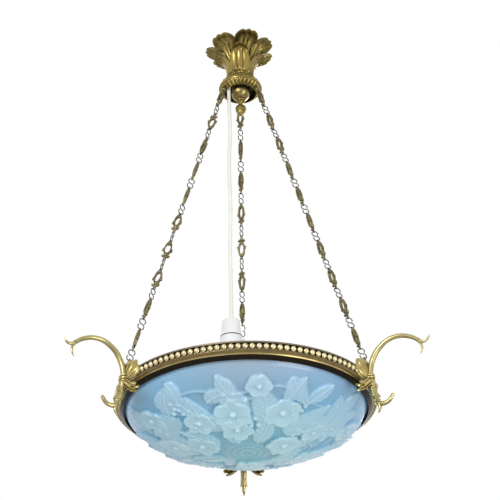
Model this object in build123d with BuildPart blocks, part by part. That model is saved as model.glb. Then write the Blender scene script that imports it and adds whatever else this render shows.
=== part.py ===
"""Hanging dish light: a moulded glass bowl in a bronze ring, on three chains under a flower-cup canopy."""

from build123d import *
import os
from math import asin, atan2, cos, degrees, hypot, radians, sin, sqrt

# Driving dimensions, in millimetres and degrees.
# The origin is the centre of the ceiling plate's upper face, and the light hangs towards -Z.

# Ceiling plate and hook
plate_radius = 34.0
plate_thickness = 4.0
plate_screw_circle = 48.0
plate_screw_hole = 2.3
plate_screws = 3
plate_boss_radius = 9.0
plate_boss_depth = 6.0
plate_chamfer = 1.0
hook_wire = 5.0
hook_loop = 8.5
hook_bearing = -30.0
hook_arc = 265.0
hook_embed = 1.0

# Hanging link, eye nut and stem
link_wire = 4.0
link_loop = 7.0
link_straight = 6.0
eye_wire = 4.5
eye_loop = 8.5
eye_nut_radius = 7.0
eye_nut_height = 9.0
eye_nut_roof = 3.6
eye_nut_chamfer = 0.8
stem_radius = 5.0
hanging_gap = 0.3
stem_clearance = 0.3

# Canopy and its collar
canopy_gap = 9.0
canopy_height = 76.0
canopy_rim = 63.0
canopy_neck = 20.0
canopy_waist_out = 11.0
canopy_waist_rise = 27.4
canopy_wall = 2.5
canopy_neck_heading = (0.35, 1.0)
canopy_rim_heading = (1.25, 0.8)
canopy_lobes = 7
canopy_front_notch = -90.0
notch_half_width = 5.5
notch_depth = 13.0
collar_height = 4.0
collar_radius = 19.0
collar_fillet_share = 0.45

# Hub
hub_skirt_width = 11.5
hub_wall = 2.4
hub_cap_height = 19.0
hub_crown = 20.0
hub_shoulder_in = 7.0
hub_shoulder_drop = 8.0
hub_shoulder_normal = (0.8, 0.6)
hub_rim_height = 3.0
hub_skirt_depth = 9.0
hub_mouth_lip = 2.0
hub_spigot = 3.0
hub_plate = 3.0
gadroon_count = 20
gadroon_radius = 2.6
gadroon_sink = 1.2
ball_radius = 20.0
ball_sink = 8.0
spacer_radius = 7.0
finial_neck = 7.5
finial_collar = 8.8
finial_collar_height = 5.0
finial_bead = 7.3
finial_bead_height = 3.2
finial_throat = 6.4
finial_reel = 3.8
finial_reel_height = 6.6
bud_radius = 10.5
bud_height = 25.6
bud_shoulder = 10.0

# Chains: three lines of ten cast links and ten S-hooks
chain_azimuths = {"left": 211.5, "right": -28.5, "back": 91.5}
chain_pairs = 10
hub_eye_inset = 4.9
hub_eye_below_rim = 6.4
ring_eye_inset = 3.4
ring_eye_height = 44.6
cast_link_span = 42.55
cast_link_thickness = 6.0
cast_link_eye_thickness = 2.2
cast_link_half_width = 7.2
cast_link_bar = 4.0
cast_link_frame_half = 14.6
cast_link_frame_back = 4.0
cast_link_spine = 3.4
slot_half_length = 10.0
slot_back = 4.0
fleuron_from_end = 6.5
fleuron_radius = 4.2
fleuron_width = 13.2
fleuron_height = 3.4
ear_radius = 2.3
ear_ahead = 0.6
link_eye_hole = 1.9
link_eye_wall = 1.25
s_wire = 1.9
s_loop = 5.5
s_arc = 308.0
chain_gap = 0.25
lower_chain_gap = 0.7
hub_eye_wire = 2.2
hub_eye_loop = 4.4
hub_eye_blind = 2.5
ring_eye_wire = 2.0
ring_eye_loop = 4.2
ring_eye_thread = 8.0
# Turn of each cast link about its own chain, from facing the front
link_turns = {
    "left": [42, 12, 48, 66, 66, 16, 0, 14, 54, 70],
    "right": [72, 66, 60, 78, 75, 80, 67, 63, 64, 79],
    "back": [35, 71, 60, 39, 24, 41, 60, 75, 60, 70],
}
# Places in each chain, from 0 at the hub, of the cast links that hang with their fleuron up
flipped_links = {"left": [1, 2], "right": [], "back": [4, 5]}

# Ring: depths in from its outer face, and heights above the ring plane
ring_radius = 225.0
ring_wall = 10.5
ring_top = 11.8
ring_fillet = 2.8
bead_groove_depth = 5.5
bead_groove_top = 8.9
bead_groove_bottom = -1.5
ring_lip_depth = 2.5
ring_lip_height = 1.2
cove_foot_depth = 9.1
cove_foot_height = -7.0
cove_bow = 1.0
ring_step = 1.2
ring_step_in = 2.4
ring_step_drop = 2.0
ring_bottom = -13.3
ring_ledge = 6.0
ring_mouth_land = 0.6
ledge_top = -4.5
bead_count = 126
bead_radius = 5.1
bead_centre_out = 2.4
bead_strip = 1.0
seat_gap = 0.1

# Glass dish and its gasket
gasket_thickness = 1.3
glass_wall = 6.0
glass_depth = 81.8
glass_lip_height = 5.0
glass_side_gap = 1.0
glass_seat_gap = 0.1
# Outer profile of the bowl as shares of its neck radius and depth, from the bottom up
glass_profile = [(0.0, 0.0), (0.525, 0.222), (0.835, 0.525), (0.975, 0.80)]

# Arms: points are out from the ring's outer face, and above the ring plane
arm_standoff = 8.0
arm_foot = (17.5, -47.0)
arm_foot_radius = 3.8
arm_root_radius = 5.0
arm_tip_radius = 3.8
prong_tip_radius = 0.9
arm_node_swell = 0.8
spine_points = [(9.0, -26.0), (8.0, -4.0), (15.0, 30.0), (37.0, 54.5), (59.0, 60.5), (96.0, 44.5)]
upper_prong_points = [(106.0, 39.5), (114.0, 45.5)]
lower_prong_points = [(100.0, 34.0), (97.5, 19.0)]
side_prong_points = [(31.0, -51.5), (44.5, -42.0)]
drop_prong_points = [(19.5, -57.0), (17.0, -67.0)]
# Directions in which the spine and the prongs start
spine_start = (-0.6, 0.8)
upper_prong_start = (1.0, -0.8)
lower_prong_start = (0.5, -1.0)
side_prong_start = (0.9, -0.75)
drop_prong_start = (0.4, -1.0)
# Radii of the prongs at their stations before the tip, as shares of the arm's tip radius
upper_prong_shares = [1.0, 0.7, 0.55]
lower_prong_shares = [0.8, 0.6, 0.5]
side_prong_shares = [1.0, 0.9, 0.7]
drop_prong_shares = [0.9, 0.7, 0.5]
swelling_stations = 3
thinning_stations = 10
pad_standout = 2.0
pad_half_width = 9.0
pad_top = 8.0
pad_bottom = 0.5
block_half_width = 5.0
block_top = 26.0
block_bottom = 2.0

# Screws that hold the arms
screw_radius = 1.75
screw_head_radius = 3.3
screw_head_depth = 1.8
screw_spread = 5.0
screw_height = 4.2
screw_end_wall = 0.5

# Bows: out from the ring's outer face, sideways, and above the ring plane
knot_radius = 7.8
knot_gap = 0.5
knot_top = 0.3
knot_bottom = -13.0
knot_bore_over = 4.0
bow_loop_radius = 8.5
bow_loop_out = 0.5
bow_loop_height = 21.5
bow_loop_side = 14.2
bow_ribbon_width = 6.5
bow_ribbon_thickness = 2.2
bow_strap_radius = 1.9
strap_start = (2.6, 9.5, 15.5)
strap_end = (6.2, 7.2, -2.0)
tail_points = [(8.0, 5.0, -10.0), (11.5, 15.0, -22.0), (15.5, 27.0, -33.0)]
tail_radii = [2.6, 3.0, 1.2]

# Flex and terminal block
flex_radius = 3.5
flex_azimuth = 205.6
flex_ball_gap = 2.0
flex_mouth_gap = 1.0
flex_inner_offset = 13.0
flex_drop = 33.0
flex_length = 515.0
flex_joint_gap = 0.35
flex_hole_gap = 0.8
plate_slot_gap = 2.1
grommet_gap = 0.5
grommet_wall = 1.0
terminal_rise = 21.0
terminal_height = 16.0
terminal_depth = 9.0
terminal_width = 16.0
terminal_inner = 9.7
terminal_screw = 1.6
terminal_screw_depth = 4.0

# Lampholder
holder_cap_radius = 20.0
holder_cap_top = 16.3
holder_cap_height = 33.0
holder_cap_crown = 3.0
holder_wall = 2.2
holder_body_radius = 20.5
holder_body_height = 42.0
holder_seam = 2.2
holder_band_radius = 20.3
holder_band_gap = 0.1
holder_neck_height = 8.0
holder_neck_gap = 0.1
flex_grip_gap = 0.1
flex_tail = 12.0
contact_block_height = 10.0
contact_block_drop = 5.0
contact_gap = 3.0
plunger_radius = 1.9
plunger_spread = 5.5
plunger_gap = 0.06
plunger_travel = 2.5
plunger_length = 8.0
shade_ring_radius = 25.0
shade_ring_height = 8.0
shade_ring_place = 14.0
shade_ring_gap = 0.08
sleeve_gap = 0.3
sleeve_wall = 3.0
sleeve_length = 22.0
bayonet_turn = 18.0

# Bulb
bulb_cap_radius = 11.0
bulb_cap_height = 25.0
bulb_cap_wall = 0.8
bulb_cap_insulator = 5.0
bulb_neck_step = 0.5
bulb_radius = 30.0
bulb_length = 105.0
bulb_glass_wall = 0.8
pin_radius = 1.0
pin_stand = 2.4
pin_drop = 7.0
pin_gap = 0.3

# Places that follow from the dimensions
flex_offset = ball_radius + flex_ball_gap + flex_radius
hub_mouth = flex_offset + flex_radius + flex_mouth_gap
hub_radius = hub_mouth + hub_skirt_width
hub_eye_radius = hub_radius - hub_eye_inset
ring_inner = ring_radius - ring_wall
ring_mouth = ring_inner - ring_ledge
ring_lip = ring_radius - ring_lip_depth
ring_eye_radius = ring_radius - ring_eye_inset
bead_groove = ring_radius - bead_groove_depth
cove_foot_radius = ring_radius - cove_foot_depth
arm_spine = ring_radius + arm_standoff
pad_outer = ring_radius + pad_standout
hole_play = link_eye_hole - s_wire / 2 - chain_gap
link_pitch = cast_link_span + 4 * s_loop + 2 * hole_play
chain_length = chain_pairs * link_pitch
chain_spread = ring_eye_radius - hub_eye_radius
chain_drop = sqrt(chain_length**2 - chain_spread**2)
chain_lean = atan2(chain_spread, chain_drop)
link_top = hook_bearing + hook_wire / 2 + link_wire / 2 + hanging_gap
link_bottom = link_top - 2 * link_loop - link_straight
eye_top = link_bottom + link_wire / 2 + eye_wire / 2 + hanging_gap
eye_centre = eye_top - eye_loop
eye_nut_top = eye_centre - eye_loop + eye_wire / 4
eye_nut_bottom = eye_nut_top - eye_nut_height
canopy_base = -(canopy_gap + canopy_height)
hub_top = canopy_base - collar_height
hub_edge = hub_top - hub_cap_height
hub_plate_top = hub_edge + hub_plate
hub_rim_bottom = hub_edge - hub_rim_height
hub_bottom = hub_rim_bottom - hub_skirt_depth
ball_centre = hub_edge - ball_sink
finial_top = ball_centre - sqrt(ball_radius**2 - finial_neck**2)
finial_collar_foot = finial_top - finial_collar_height
finial_bead_foot = finial_collar_foot - finial_bead_height
stem_end = (finial_collar_foot + finial_bead_foot) / 2
bud_top = finial_bead_foot - finial_reel_height
hub_eye_level = hub_rim_bottom - hub_eye_below_rim
ring_level = hub_eye_level - chain_drop - ring_eye_height
flex_shift = flex_offset - flex_inner_offset
flex_bend = (flex_drop**2 + flex_shift**2) / (4 * flex_shift)
flex_exit = canopy_base - flex_drop
terminal_bottom = canopy_base + terminal_rise
flex_middle = (canopy_base + flex_exit) / 2
grommet_bore = flex_radius + grommet_gap
grommet_drop = collar_height + hub_wall / 2
grommet_offset = flex_inner_offset + flex_bend - sqrt(flex_bend**2 - grommet_drop**2)
plate_slot_radius = flex_radius + plate_slot_gap
plate_slot_rise = hub_plate_top - hub_plate / 2 - flex_exit
plate_slot_offset = flex_offset - flex_bend + sqrt(flex_bend**2 - plate_slot_rise**2)
screw_end = pad_outer - screw_end_wall
dish_neck = ring_mouth - glass_side_gap
dish_lip = ring_inner - glass_side_gap
dish_foot = ring_level + ledge_top + gasket_thickness + glass_seat_gap
holder_top = flex_exit - flex_joint_gap - flex_length
holder_cap_bottom = holder_top - holder_cap_height
holder_body_top = holder_cap_bottom - holder_seam
holder_bottom = holder_body_top - holder_body_height
holder_cap_taper = (holder_cap_radius - holder_cap_top) / holder_cap_height
holder_neck = holder_cap_radius - holder_wall - holder_neck_gap - holder_cap_taper * holder_neck_height
holder_neck_bore = holder_neck - holder_wall
contact_bottom = holder_cap_bottom - contact_block_drop
bulb_top = contact_bottom - contact_gap
bulb_cap_bottom = bulb_top - bulb_cap_height
bulb_bottom = bulb_top - bulb_length
pin_level = bulb_top - pin_drop
pin_room = pin_radius + pin_gap
pin_reach = bulb_cap_radius + pin_stand
bulb_neck = bulb_cap_radius - bulb_neck_step
sleeve_bore = bulb_cap_radius + sleeve_gap
pin_angle = degrees(asin(pin_room / sleeve_bore))


def save(built, name):
    """Label a finished piece and write it."""
    built.part.label = name
    export_step(built.part, f"parts/{name}.step")


def outward(azimuth):
    """Unit vector away from the light's axis."""
    return Vector(cos(radians(azimuth)), sin(radians(azimuth)), 0)


def facing(azimuth):
    """Plane through the axis that faces outward: sideways, up, then outward."""
    side = Vector(-sin(radians(azimuth)), cos(radians(azimuth)), 0)
    return Plane(origin=(0, 0, 0), x_dir=side, z_dir=outward(azimuth))


def holder_plane(z):
    """Level plane on the free flex's line."""
    return Plane(origin=outward(flex_azimuth) * flex_offset + Vector(0, 0, z))


def holder_section():
    """Upright plane through the free flex's line, for turned profiles."""
    return Plane(origin=outward(flex_azimuth) * flex_offset, x_dir=(1, 0, 0), z_dir=(0, -1, 0))


def holder_line():
    """The free flex's line as an axis."""
    return Axis(outward(flex_azimuth) * flex_offset, (0, 0, 1))


def chain_point(side, along):
    """Point at a distance along one chain's line, from its start under the hub."""
    start = outward(chain_azimuths[side]) * hub_eye_radius + Vector(0, 0, hub_eye_level)
    return start + chain_down(side) * along


def chain_down(side):
    """Unit vector down one chain's line."""
    return outward(chain_azimuths[side]) * sin(chain_lean) - Vector(0, 0, cos(chain_lean))


def link_plane(side, along, turn):
    """Plane of a link or hook at a distance along its chain, turned about the chain."""
    down = chain_down(side)
    front = down.cross(Vector(0, 1, 0)).normalized()
    width = front * cos(radians(turn)) + down.cross(front) * sin(radians(turn))
    return Plane(origin=chain_point(side, along), x_dir=width, z_dir=width.cross(down))


def s_turn(side, place):
    """Turn of the S-hook after a cast link: square to the mean of its neighbours."""
    turns = link_turns[side]
    after = turns[min(place + 1, chain_pairs - 1)]
    return (turns[place] + after) / 2 + 90


def hub_eye_along():
    """Distance along a chain to the hub eye's wire, where the first cast link hangs."""
    first_hole = link_pitch - 2 * s_loop - hole_play - cast_link_span
    return first_hole - (link_eye_hole - hub_eye_wire / 2 - chain_gap)


def ring_eye_along():
    """Distance along a chain to the centre of the eye that its last S-hook holds."""
    last_wire = chain_length + 2 * s_loop
    return last_wire - s_wire / 2 - ring_eye_wire / 2 - lower_chain_gap + ring_eye_loop


def wiring_holes(z):
    """Sketch of the holes for the stem and the flex at a height."""
    with BuildSketch(Plane.XY.offset(z)) as holes:
        Circle(stem_radius + stem_clearance)
        place = outward(flex_azimuth) * flex_inner_offset
        with Locations((place.X, place.Y)):
            Circle(flex_radius + flex_hole_gap)
    return holes.sketch


def tapered(path, radii, across):
    """Round bar along a wire whose radius changes from station to station."""
    with BuildPart() as bar:
        for place, radius in enumerate(radii):
            station = place / (len(radii) - 1)
            tangent = path % station
            square = across - tangent * across.dot(tangent)
            with BuildSketch(Plane(origin=path @ station, x_dir=square, z_dir=tangent)):
                Circle(radius)
        loft()
    return bar.part


def ceiling_plate():
    """Round plate on the ceiling with a boss for the hook and three screw holes."""
    with BuildPart() as plate:
        with BuildSketch(Plane.XY):
            Circle(plate_radius)
        extrude(amount=-plate_thickness)
        with BuildSketch(Plane.XY.offset(-plate_thickness)):
            Circle(plate_boss_radius)
        extrude(amount=-plate_boss_depth)
        chamfer(plate.faces().sort_by(Axis.Z)[0].edges(), length=plate_chamfer)
        with BuildSketch(Plane.XY):
            Circle(hook_wire / 2)
            with PolarLocations(plate_screw_circle / 2, plate_screws):
                Circle(plate_screw_hole)
        extrude(amount=-plate_thickness - plate_boss_depth, mode=Mode.SUBTRACT)
    save(plate, "ceiling_plate")


def ceiling_hook():
    """Open hook whose bowl carries the hanging link under the middle of the plate."""
    centre = hook_bearing + hook_loop
    with BuildPart() as hook:
        with BuildLine(Plane.YZ) as bowl:
            CenterArc((0, centre), hook_loop, 90, hook_arc)
        with BuildSketch(Plane(origin=bowl.wire() @ 0, z_dir=bowl.wire() % 0)):
            Circle(hook_wire / 2)
        sweep(path=bowl.wire())
        with BuildSketch(Plane.XY.offset(-hook_embed)):
            Circle(hook_wire / 2)
        extrude(amount=centre + hook_loop + hook_embed)
        with Locations((0, 0, centre + hook_loop)):
            Sphere(hook_wire / 2)
    save(hook, "ceiling_hook")


def hanging_link():
    """Closed oval link between the ceiling hook and the eye nut."""
    upper = link_top - link_loop
    lower = upper - link_straight
    with BuildPart() as link:
        with BuildLine(Plane.XZ) as path:
            CenterArc((0, upper), link_loop, 0, 180)
            Line((-link_loop, upper), (-link_loop, lower))
            CenterArc((0, lower), link_loop, 180, 180)
            Line((link_loop, lower), (link_loop, upper))
        with BuildSketch(Plane(origin=path.wire() @ 0, z_dir=path.wire() % 0)):
            Circle(link_wire / 2)
        sweep(path=path.wire())
    save(link, "hanging_link")


def eye_nut():
    """Eye with a round nut, screwed on the top of the stem."""
    with BuildPart() as eye:
        with BuildSketch(Plane.XY.offset(eye_nut_top)):
            Circle(eye_nut_radius)
        extrude(amount=-eye_nut_height)
        chamfer(eye.faces().sort_by(Axis.Z)[0].edges(), length=eye_nut_chamfer)
        with BuildSketch(Plane.XY.offset(eye_nut_bottom)):
            Circle(stem_radius)
        extrude(amount=eye_nut_height - eye_nut_roof, mode=Mode.SUBTRACT)
        with Locations(Plane(origin=(0, 0, eye_centre), z_dir=(1, 0, 0))):
            Torus(eye_loop, eye_wire / 2)
    save(eye, "eye_nut")


def stem():
    """Threaded stem from the eye nut down through canopy, hub and ball into the finial."""
    top = eye_nut_top - eye_nut_roof
    with BuildPart() as rod:
        with BuildSketch(Plane.XY.offset(top)):
            Circle(stem_radius)
        extrude(amount=stem_end - top)
    save(rod, "stem")


def canopy_outline(inset):
    """Half outline of the flower cup from neck to rim, moved in by the wall."""
    neck = (canopy_neck - inset, canopy_base + inset)
    waist = (canopy_neck + canopy_waist_out - inset, canopy_base + canopy_waist_rise)
    rim = (canopy_rim - inset, -canopy_gap)
    with BuildLine() as outline:
        Spline(neck, waist, rim, tangents=[canopy_neck_heading, canopy_rim_heading])
        Polyline(rim, (0, rim[1]), (0, neck[1]), neck)
    return outline.edges()


def canopy():
    """Flower cup: a flared shell with lobes between notches in its rim."""
    with BuildPart() as cup:
        for inset, mode in ((0, Mode.ADD), (canopy_wall, Mode.SUBTRACT)):
            with BuildSketch(Plane.XZ):
                make_face(canopy_outline(inset))
            revolve(axis=Axis.Z, mode=mode)
        extrude(wiring_holes(canopy_base), amount=2 * canopy_wall, mode=Mode.SUBTRACT)
        for lobe in range(canopy_lobes):
            azimuth = (lobe + 0.5) * 360 / canopy_lobes + canopy_front_notch
            with BuildSketch(facing(azimuth).offset(canopy_neck + notch_depth)):
                with Locations((0, -canopy_gap)):
                    Ellipse(notch_half_width, notch_depth)
            extrude(amount=canopy_rim, mode=Mode.SUBTRACT)
    save(cup, "canopy")


def canopy_collar():
    """Rounded collar that the canopy's neck stands on."""
    with BuildPart() as collar:
        with BuildSketch(Plane.XY.offset(hub_top)):
            Circle(collar_radius)
        extrude(amount=collar_height)
        fillet(collar.edges(), radius=collar_height * collar_fillet_share)
        extrude(wiring_holes(hub_top), amount=collar_height, mode=Mode.SUBTRACT)
    save(collar, "canopy_collar")


def dome_outline(inset):
    """Half outline of the hub's dome, moved in by the wall."""
    crown = (hub_crown - inset, hub_top - inset)
    along, up = hub_shoulder_normal
    shoulder = (
        hub_radius - hub_shoulder_in - inset * along,
        hub_top - hub_shoulder_drop - inset * up,
    )
    edge = (hub_radius - inset, hub_edge)
    with BuildLine() as outline:
        ThreePointArc(crown, shoulder, edge)
        Polyline(edge, (0, hub_edge), (0, crown[1]), crown)
    return outline.edges()


def hub_cap():
    """Domed upper shell of the hub."""
    grommet = outward(flex_azimuth) * grommet_offset
    with BuildPart() as cap:
        for inset, mode in ((0, Mode.ADD), (hub_wall, Mode.SUBTRACT)):
            with BuildSketch(Plane.XZ):
                make_face(dome_outline(inset))
            revolve(axis=Axis.Z, mode=mode)
        with BuildSketch(Plane.XY.offset(hub_top)):
            Circle(stem_radius + stem_clearance)
            with Locations((grommet.X, grommet.Y)):
                Circle(grommet_bore + grommet_wall)
        extrude(amount=-2 * hub_wall, mode=Mode.SUBTRACT)
    save(cap, "hub_cap")


def gadroon():
    """One rounded lobe on the skirt's slope, along +X."""
    mouth = hub_mouth + hub_mouth_lip
    run = hub_radius - mouth
    slope = Vector(run, 0, hub_skirt_depth).normalized()
    middle = Vector((hub_radius + mouth) / 2, 0, (hub_rim_bottom + hub_bottom) / 2)
    centre = middle + Vector(-slope.Z, 0, slope.X) * gadroon_sink
    length = hypot(run, hub_skirt_depth) - 2 * gadroon_radius
    with BuildPart() as lobe:
        with Locations(Plane(origin=centre, z_dir=slope)):
            Cylinder(gadroon_radius, length)
        with Locations(centre + slope * (length / 2), centre - slope * (length / 2)):
            Sphere(gadroon_radius)
    return lobe.part


def hub_skirt():
    """Gadrooned lower casting of the hub with a carrying plate and an open mouth."""
    spigot = hub_radius - hub_wall - hub_spigot
    bore = stem_radius + stem_clearance
    slot = outward(flex_azimuth) * plate_slot_offset
    lobe = gadroon()
    with BuildPart() as skirt:
        with BuildSketch(Plane.XZ):
            with BuildLine():
                Polyline(
                    (hub_radius, hub_edge),
                    (hub_radius, hub_rim_bottom),
                    (hub_mouth + hub_mouth_lip, hub_bottom),
                    (hub_mouth, hub_bottom),
                    (hub_mouth, hub_edge),
                    (bore, hub_edge),
                    (bore, hub_plate_top),
                    (spigot, hub_plate_top),
                    (spigot, hub_edge),
                    (hub_radius, hub_edge),
                )
            make_face()
        revolve(axis=Axis.Z)
        for place in range(gadroon_count):
            add(lobe.rotate(Axis.Z, (place + 0.5) * 360 / gadroon_count))
        with BuildSketch(Plane.XY.offset(hub_edge)):
            with Locations((slot.X, slot.Y)):
                Circle(plate_slot_radius)
        extrude(amount=hub_plate, mode=Mode.SUBTRACT)
        for side in chain_azimuths:
            shank = hub_eye_top(side)
            with BuildSketch(Plane(origin=shank)):
                Circle(hub_eye_wire / 2)
            extrude(amount=hub_edge - hub_eye_blind - shank.Z, mode=Mode.SUBTRACT)
    save(skirt, "hub_skirt")


def hub_spacer():
    """Spacer tube on the stem between the hub cap and the skirt's plate."""
    with BuildPart() as spacer:
        with BuildSketch(Plane.XY.offset(hub_plate_top)):
            Circle(spacer_radius)
            Circle(stem_radius + stem_clearance, mode=Mode.SUBTRACT)
        extrude(amount=hub_top - hub_wall - hub_plate_top)
    save(spacer, "hub_spacer")


def hub_ball():
    """Smooth ball boss under the hub."""
    with BuildPart() as ball:
        with Locations((0, 0, ball_centre)):
            Sphere(ball_radius)
        split(bisect_by=Plane.XY.offset(hub_edge), keep=Keep.BOTTOM)
        split(bisect_by=Plane.XY.offset(finial_top), keep=Keep.TOP)
        with BuildSketch(Plane.XY.offset(finial_top)):
            Circle(stem_radius + stem_clearance)
        extrude(amount=2 * ball_radius, mode=Mode.SUBTRACT)
    save(ball, "hub_ball")


def finial_outline():
    """Half outline of the finial: collar, bead, reel and bud."""
    collar_level = (finial_top + finial_collar_foot) / 2
    reel_level = (finial_bead_foot + bud_top) / 2
    neck_top = (finial_neck, finial_top)
    neck_foot = (finial_neck, finial_collar_foot)
    bead_top = (finial_throat, finial_collar_foot)
    reel_top = (finial_throat, finial_bead_foot)
    reel_foot = (finial_throat, bud_top)
    bud_foot = (0, bud_top - bud_height)
    with BuildLine() as outline:
        ThreePointArc(neck_top, (finial_collar, collar_level), neck_foot)
        Line(neck_foot, bead_top)
        ThreePointArc(bead_top, (finial_bead, stem_end), reel_top)
        ThreePointArc(reel_top, (finial_reel, reel_level), reel_foot)
        Spline(reel_foot, (bud_radius, bud_top - bud_shoulder), bud_foot, tangents=[(1, 0), (-1, 0)])
        Polyline(bud_foot, (0, finial_top), neck_top)
    return outline.edges()


def finial_nut():
    """Turned nut that closes the hub below and ends in a hanging bud."""
    with BuildPart() as finial:
        with BuildSketch(Plane.XZ):
            make_face(finial_outline())
        revolve(axis=Axis.Z)
        with BuildSketch(Plane.XY.offset(stem_end)):
            Circle(stem_radius)
        extrude(amount=finial_top - stem_end, mode=Mode.SUBTRACT)
    save(finial, "finial_nut")


def hub_eye_top(side):
    """Top of the hub eye's ring, where its shank starts."""
    return chain_point(side, hub_eye_along() - 2 * hub_eye_loop)


def hub_eyes():
    """Three screw eyes under the hub's rim, one for each chain."""
    with BuildPart() as eyes:
        for side in chain_azimuths:
            centre = chain_point(side, hub_eye_along() - hub_eye_loop)
            across = link_plane(side, 0, link_turns[side][0]).x_dir
            with Locations(Plane(origin=centre, z_dir=across)):
                Torus(hub_eye_loop, hub_eye_wire / 2)
            shank = hub_eye_top(side)
            with BuildSketch(Plane(origin=shank)):
                Circle(hub_eye_wire / 2)
            extrude(amount=hub_edge - hub_eye_blind - shank.Z)
    save(eyes, "hub_eyes")


def cast_link():
    """Openwork cartouche link along Y: oval frame, ears, fleuron and two thinner end eyes."""
    half = cast_link_span / 2
    eye_outer = link_eye_hole + link_eye_wall
    shaving = cast_link_thickness - cast_link_eye_thickness
    with BuildPart() as link:
        with BuildSketch(Plane.XY):
            with Locations((0, -cast_link_frame_back)):
                Ellipse(cast_link_half_width, cast_link_frame_half)
            with Locations((0, -half), (0, half)):
                Circle(eye_outer)
            Rectangle(cast_link_spine, cast_link_span)
            with Locations((0, half - fleuron_from_end)):
                Circle(fleuron_radius)
                Rectangle(fleuron_width, fleuron_height)
            with Locations((-cast_link_half_width, ear_ahead), (cast_link_half_width, ear_ahead)):
                Circle(ear_radius)
            with Locations((0, -slot_back)):
                Ellipse(cast_link_half_width - cast_link_bar, slot_half_length, mode=Mode.SUBTRACT)
            with Locations((0, -half), (0, half)):
                Circle(link_eye_hole, mode=Mode.SUBTRACT)
        extrude(amount=cast_link_thickness / 2, both=True)
        for end in (-half, half):
            with Locations((0, end, cast_link_thickness / 2), (0, end, -cast_link_thickness / 2)):
                Cylinder(eye_outer, shaving, mode=Mode.SUBTRACT)
    return link.part


def s_hook():
    """Wire hook along Y bent into an S of two nearly closed loops."""
    with BuildPart() as hook:
        with BuildLine() as path:
            CenterArc((0, s_loop), s_loop, 270 - s_arc, s_arc)
            CenterArc((0, -s_loop), s_loop, 90, -s_arc)
        with BuildSketch(Plane(origin=path.wire() @ 0, z_dir=path.wire() % 0)):
            Circle(s_wire / 2)
        sweep(path=path.wire())
    return hook.part


def chain(side):
    """The ten cast links and the ten S-hooks of one chain, as two pieces."""
    link = cast_link()
    hook = s_hook()
    to_middle = 2 * s_loop + hole_play + cast_link_span / 2
    with BuildPart() as links:
        for place in range(chain_pairs):
            plane = link_plane(side, (place + 1) * link_pitch - to_middle, link_turns[side][place])
            flip = 180 if place in flipped_links[side] else 0
            add(link.moved(plane.location * Location((0, 0, 0), (0, 0, flip))))
    save(links, f"cast_links_{side}")
    with BuildPart() as hooks:
        for place in range(chain_pairs):
            plane = link_plane(side, (place + 1) * link_pitch, s_turn(side, place))
            add(hook.moved(plane.location))
    save(hooks, f"s_hooks_{side}")


def ring_outline():
    """Section of the ring: fillet, bead groove, lip, cove, sloped foot and ledge."""
    groove_top = ring_level + bead_groove_top
    lip_top = ring_level + bead_groove_bottom
    lip_bottom = lip_top - ring_lip_height
    cove_foot = ring_level + cove_foot_height
    step_foot = cove_foot - ring_step
    top = ring_level + ring_top
    ledge = ring_level + ledge_top
    foot = ring_level + ring_bottom
    cove_middle = (
        (ring_lip + cove_foot_radius) / 2 - cove_bow,
        (lip_bottom + cove_foot) / 2 + cove_bow,
    )
    with BuildLine() as outline:
        Polyline(
            (ring_inner, top),
            (ring_radius, top),
            (ring_radius, top - ring_fillet),
            (bead_groove, groove_top),
            (bead_groove, lip_top),
            (ring_lip, lip_top),
            (ring_lip, lip_bottom),
        )
        ThreePointArc((ring_lip, lip_bottom), cove_middle, (cove_foot_radius, cove_foot))
        Polyline(
            (cove_foot_radius, cove_foot),
            (cove_foot_radius, step_foot),
            (cove_foot_radius - ring_step_in, step_foot - ring_step_drop),
            (ring_mouth + ring_mouth_land, foot),
            (ring_mouth, foot),
            (ring_mouth, ledge),
            (ring_inner, ledge),
            (ring_inner, top),
        )
    return outline.edges()


def screw_places(radius):
    """The two screw places of an arm, in the plane that faces outward there."""
    height = ring_level + screw_height
    return [(-screw_spread, height, radius), (screw_spread, height, radius)]


def rim_ring():
    """Turned ring with a ledge for the glass and countersunk holes for the arm screws."""
    with BuildPart() as ring:
        with BuildSketch(Plane.XZ):
            make_face(ring_outline())
        revolve(axis=Axis.Z)
        for azimuth in chain_azimuths.values():
            with Locations(facing(azimuth)):
                with Locations(*screw_places((ring_inner + bead_groove) / 2)):
                    Cylinder(screw_radius, 2 * (bead_groove - ring_inner), mode=Mode.SUBTRACT)
                with Locations(*screw_places(ring_inner - screw_head_depth / 2)):
                    Cylinder(screw_head_radius, screw_head_depth, mode=Mode.SUBTRACT)
                with Locations(*screw_places(ring_inner + screw_head_depth / 2)):
                    Cone(screw_head_radius, screw_radius, screw_head_depth, mode=Mode.SUBTRACT)
    save(ring, "rim_ring")


def bead_angles():
    """Azimuths of the beads, which leave out the pair behind each arm."""
    step = 360 / bead_count
    places = [chain_azimuths["left"] + step * (place + 0.5) for place in range(bead_count)]
    kept = []
    for angle in places:
        nearest = min(abs((angle - arm + 180) % 360 - 180) for arm in chain_azimuths.values())
        if nearest > step:
            kept.append(angle)
    return kept


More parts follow.
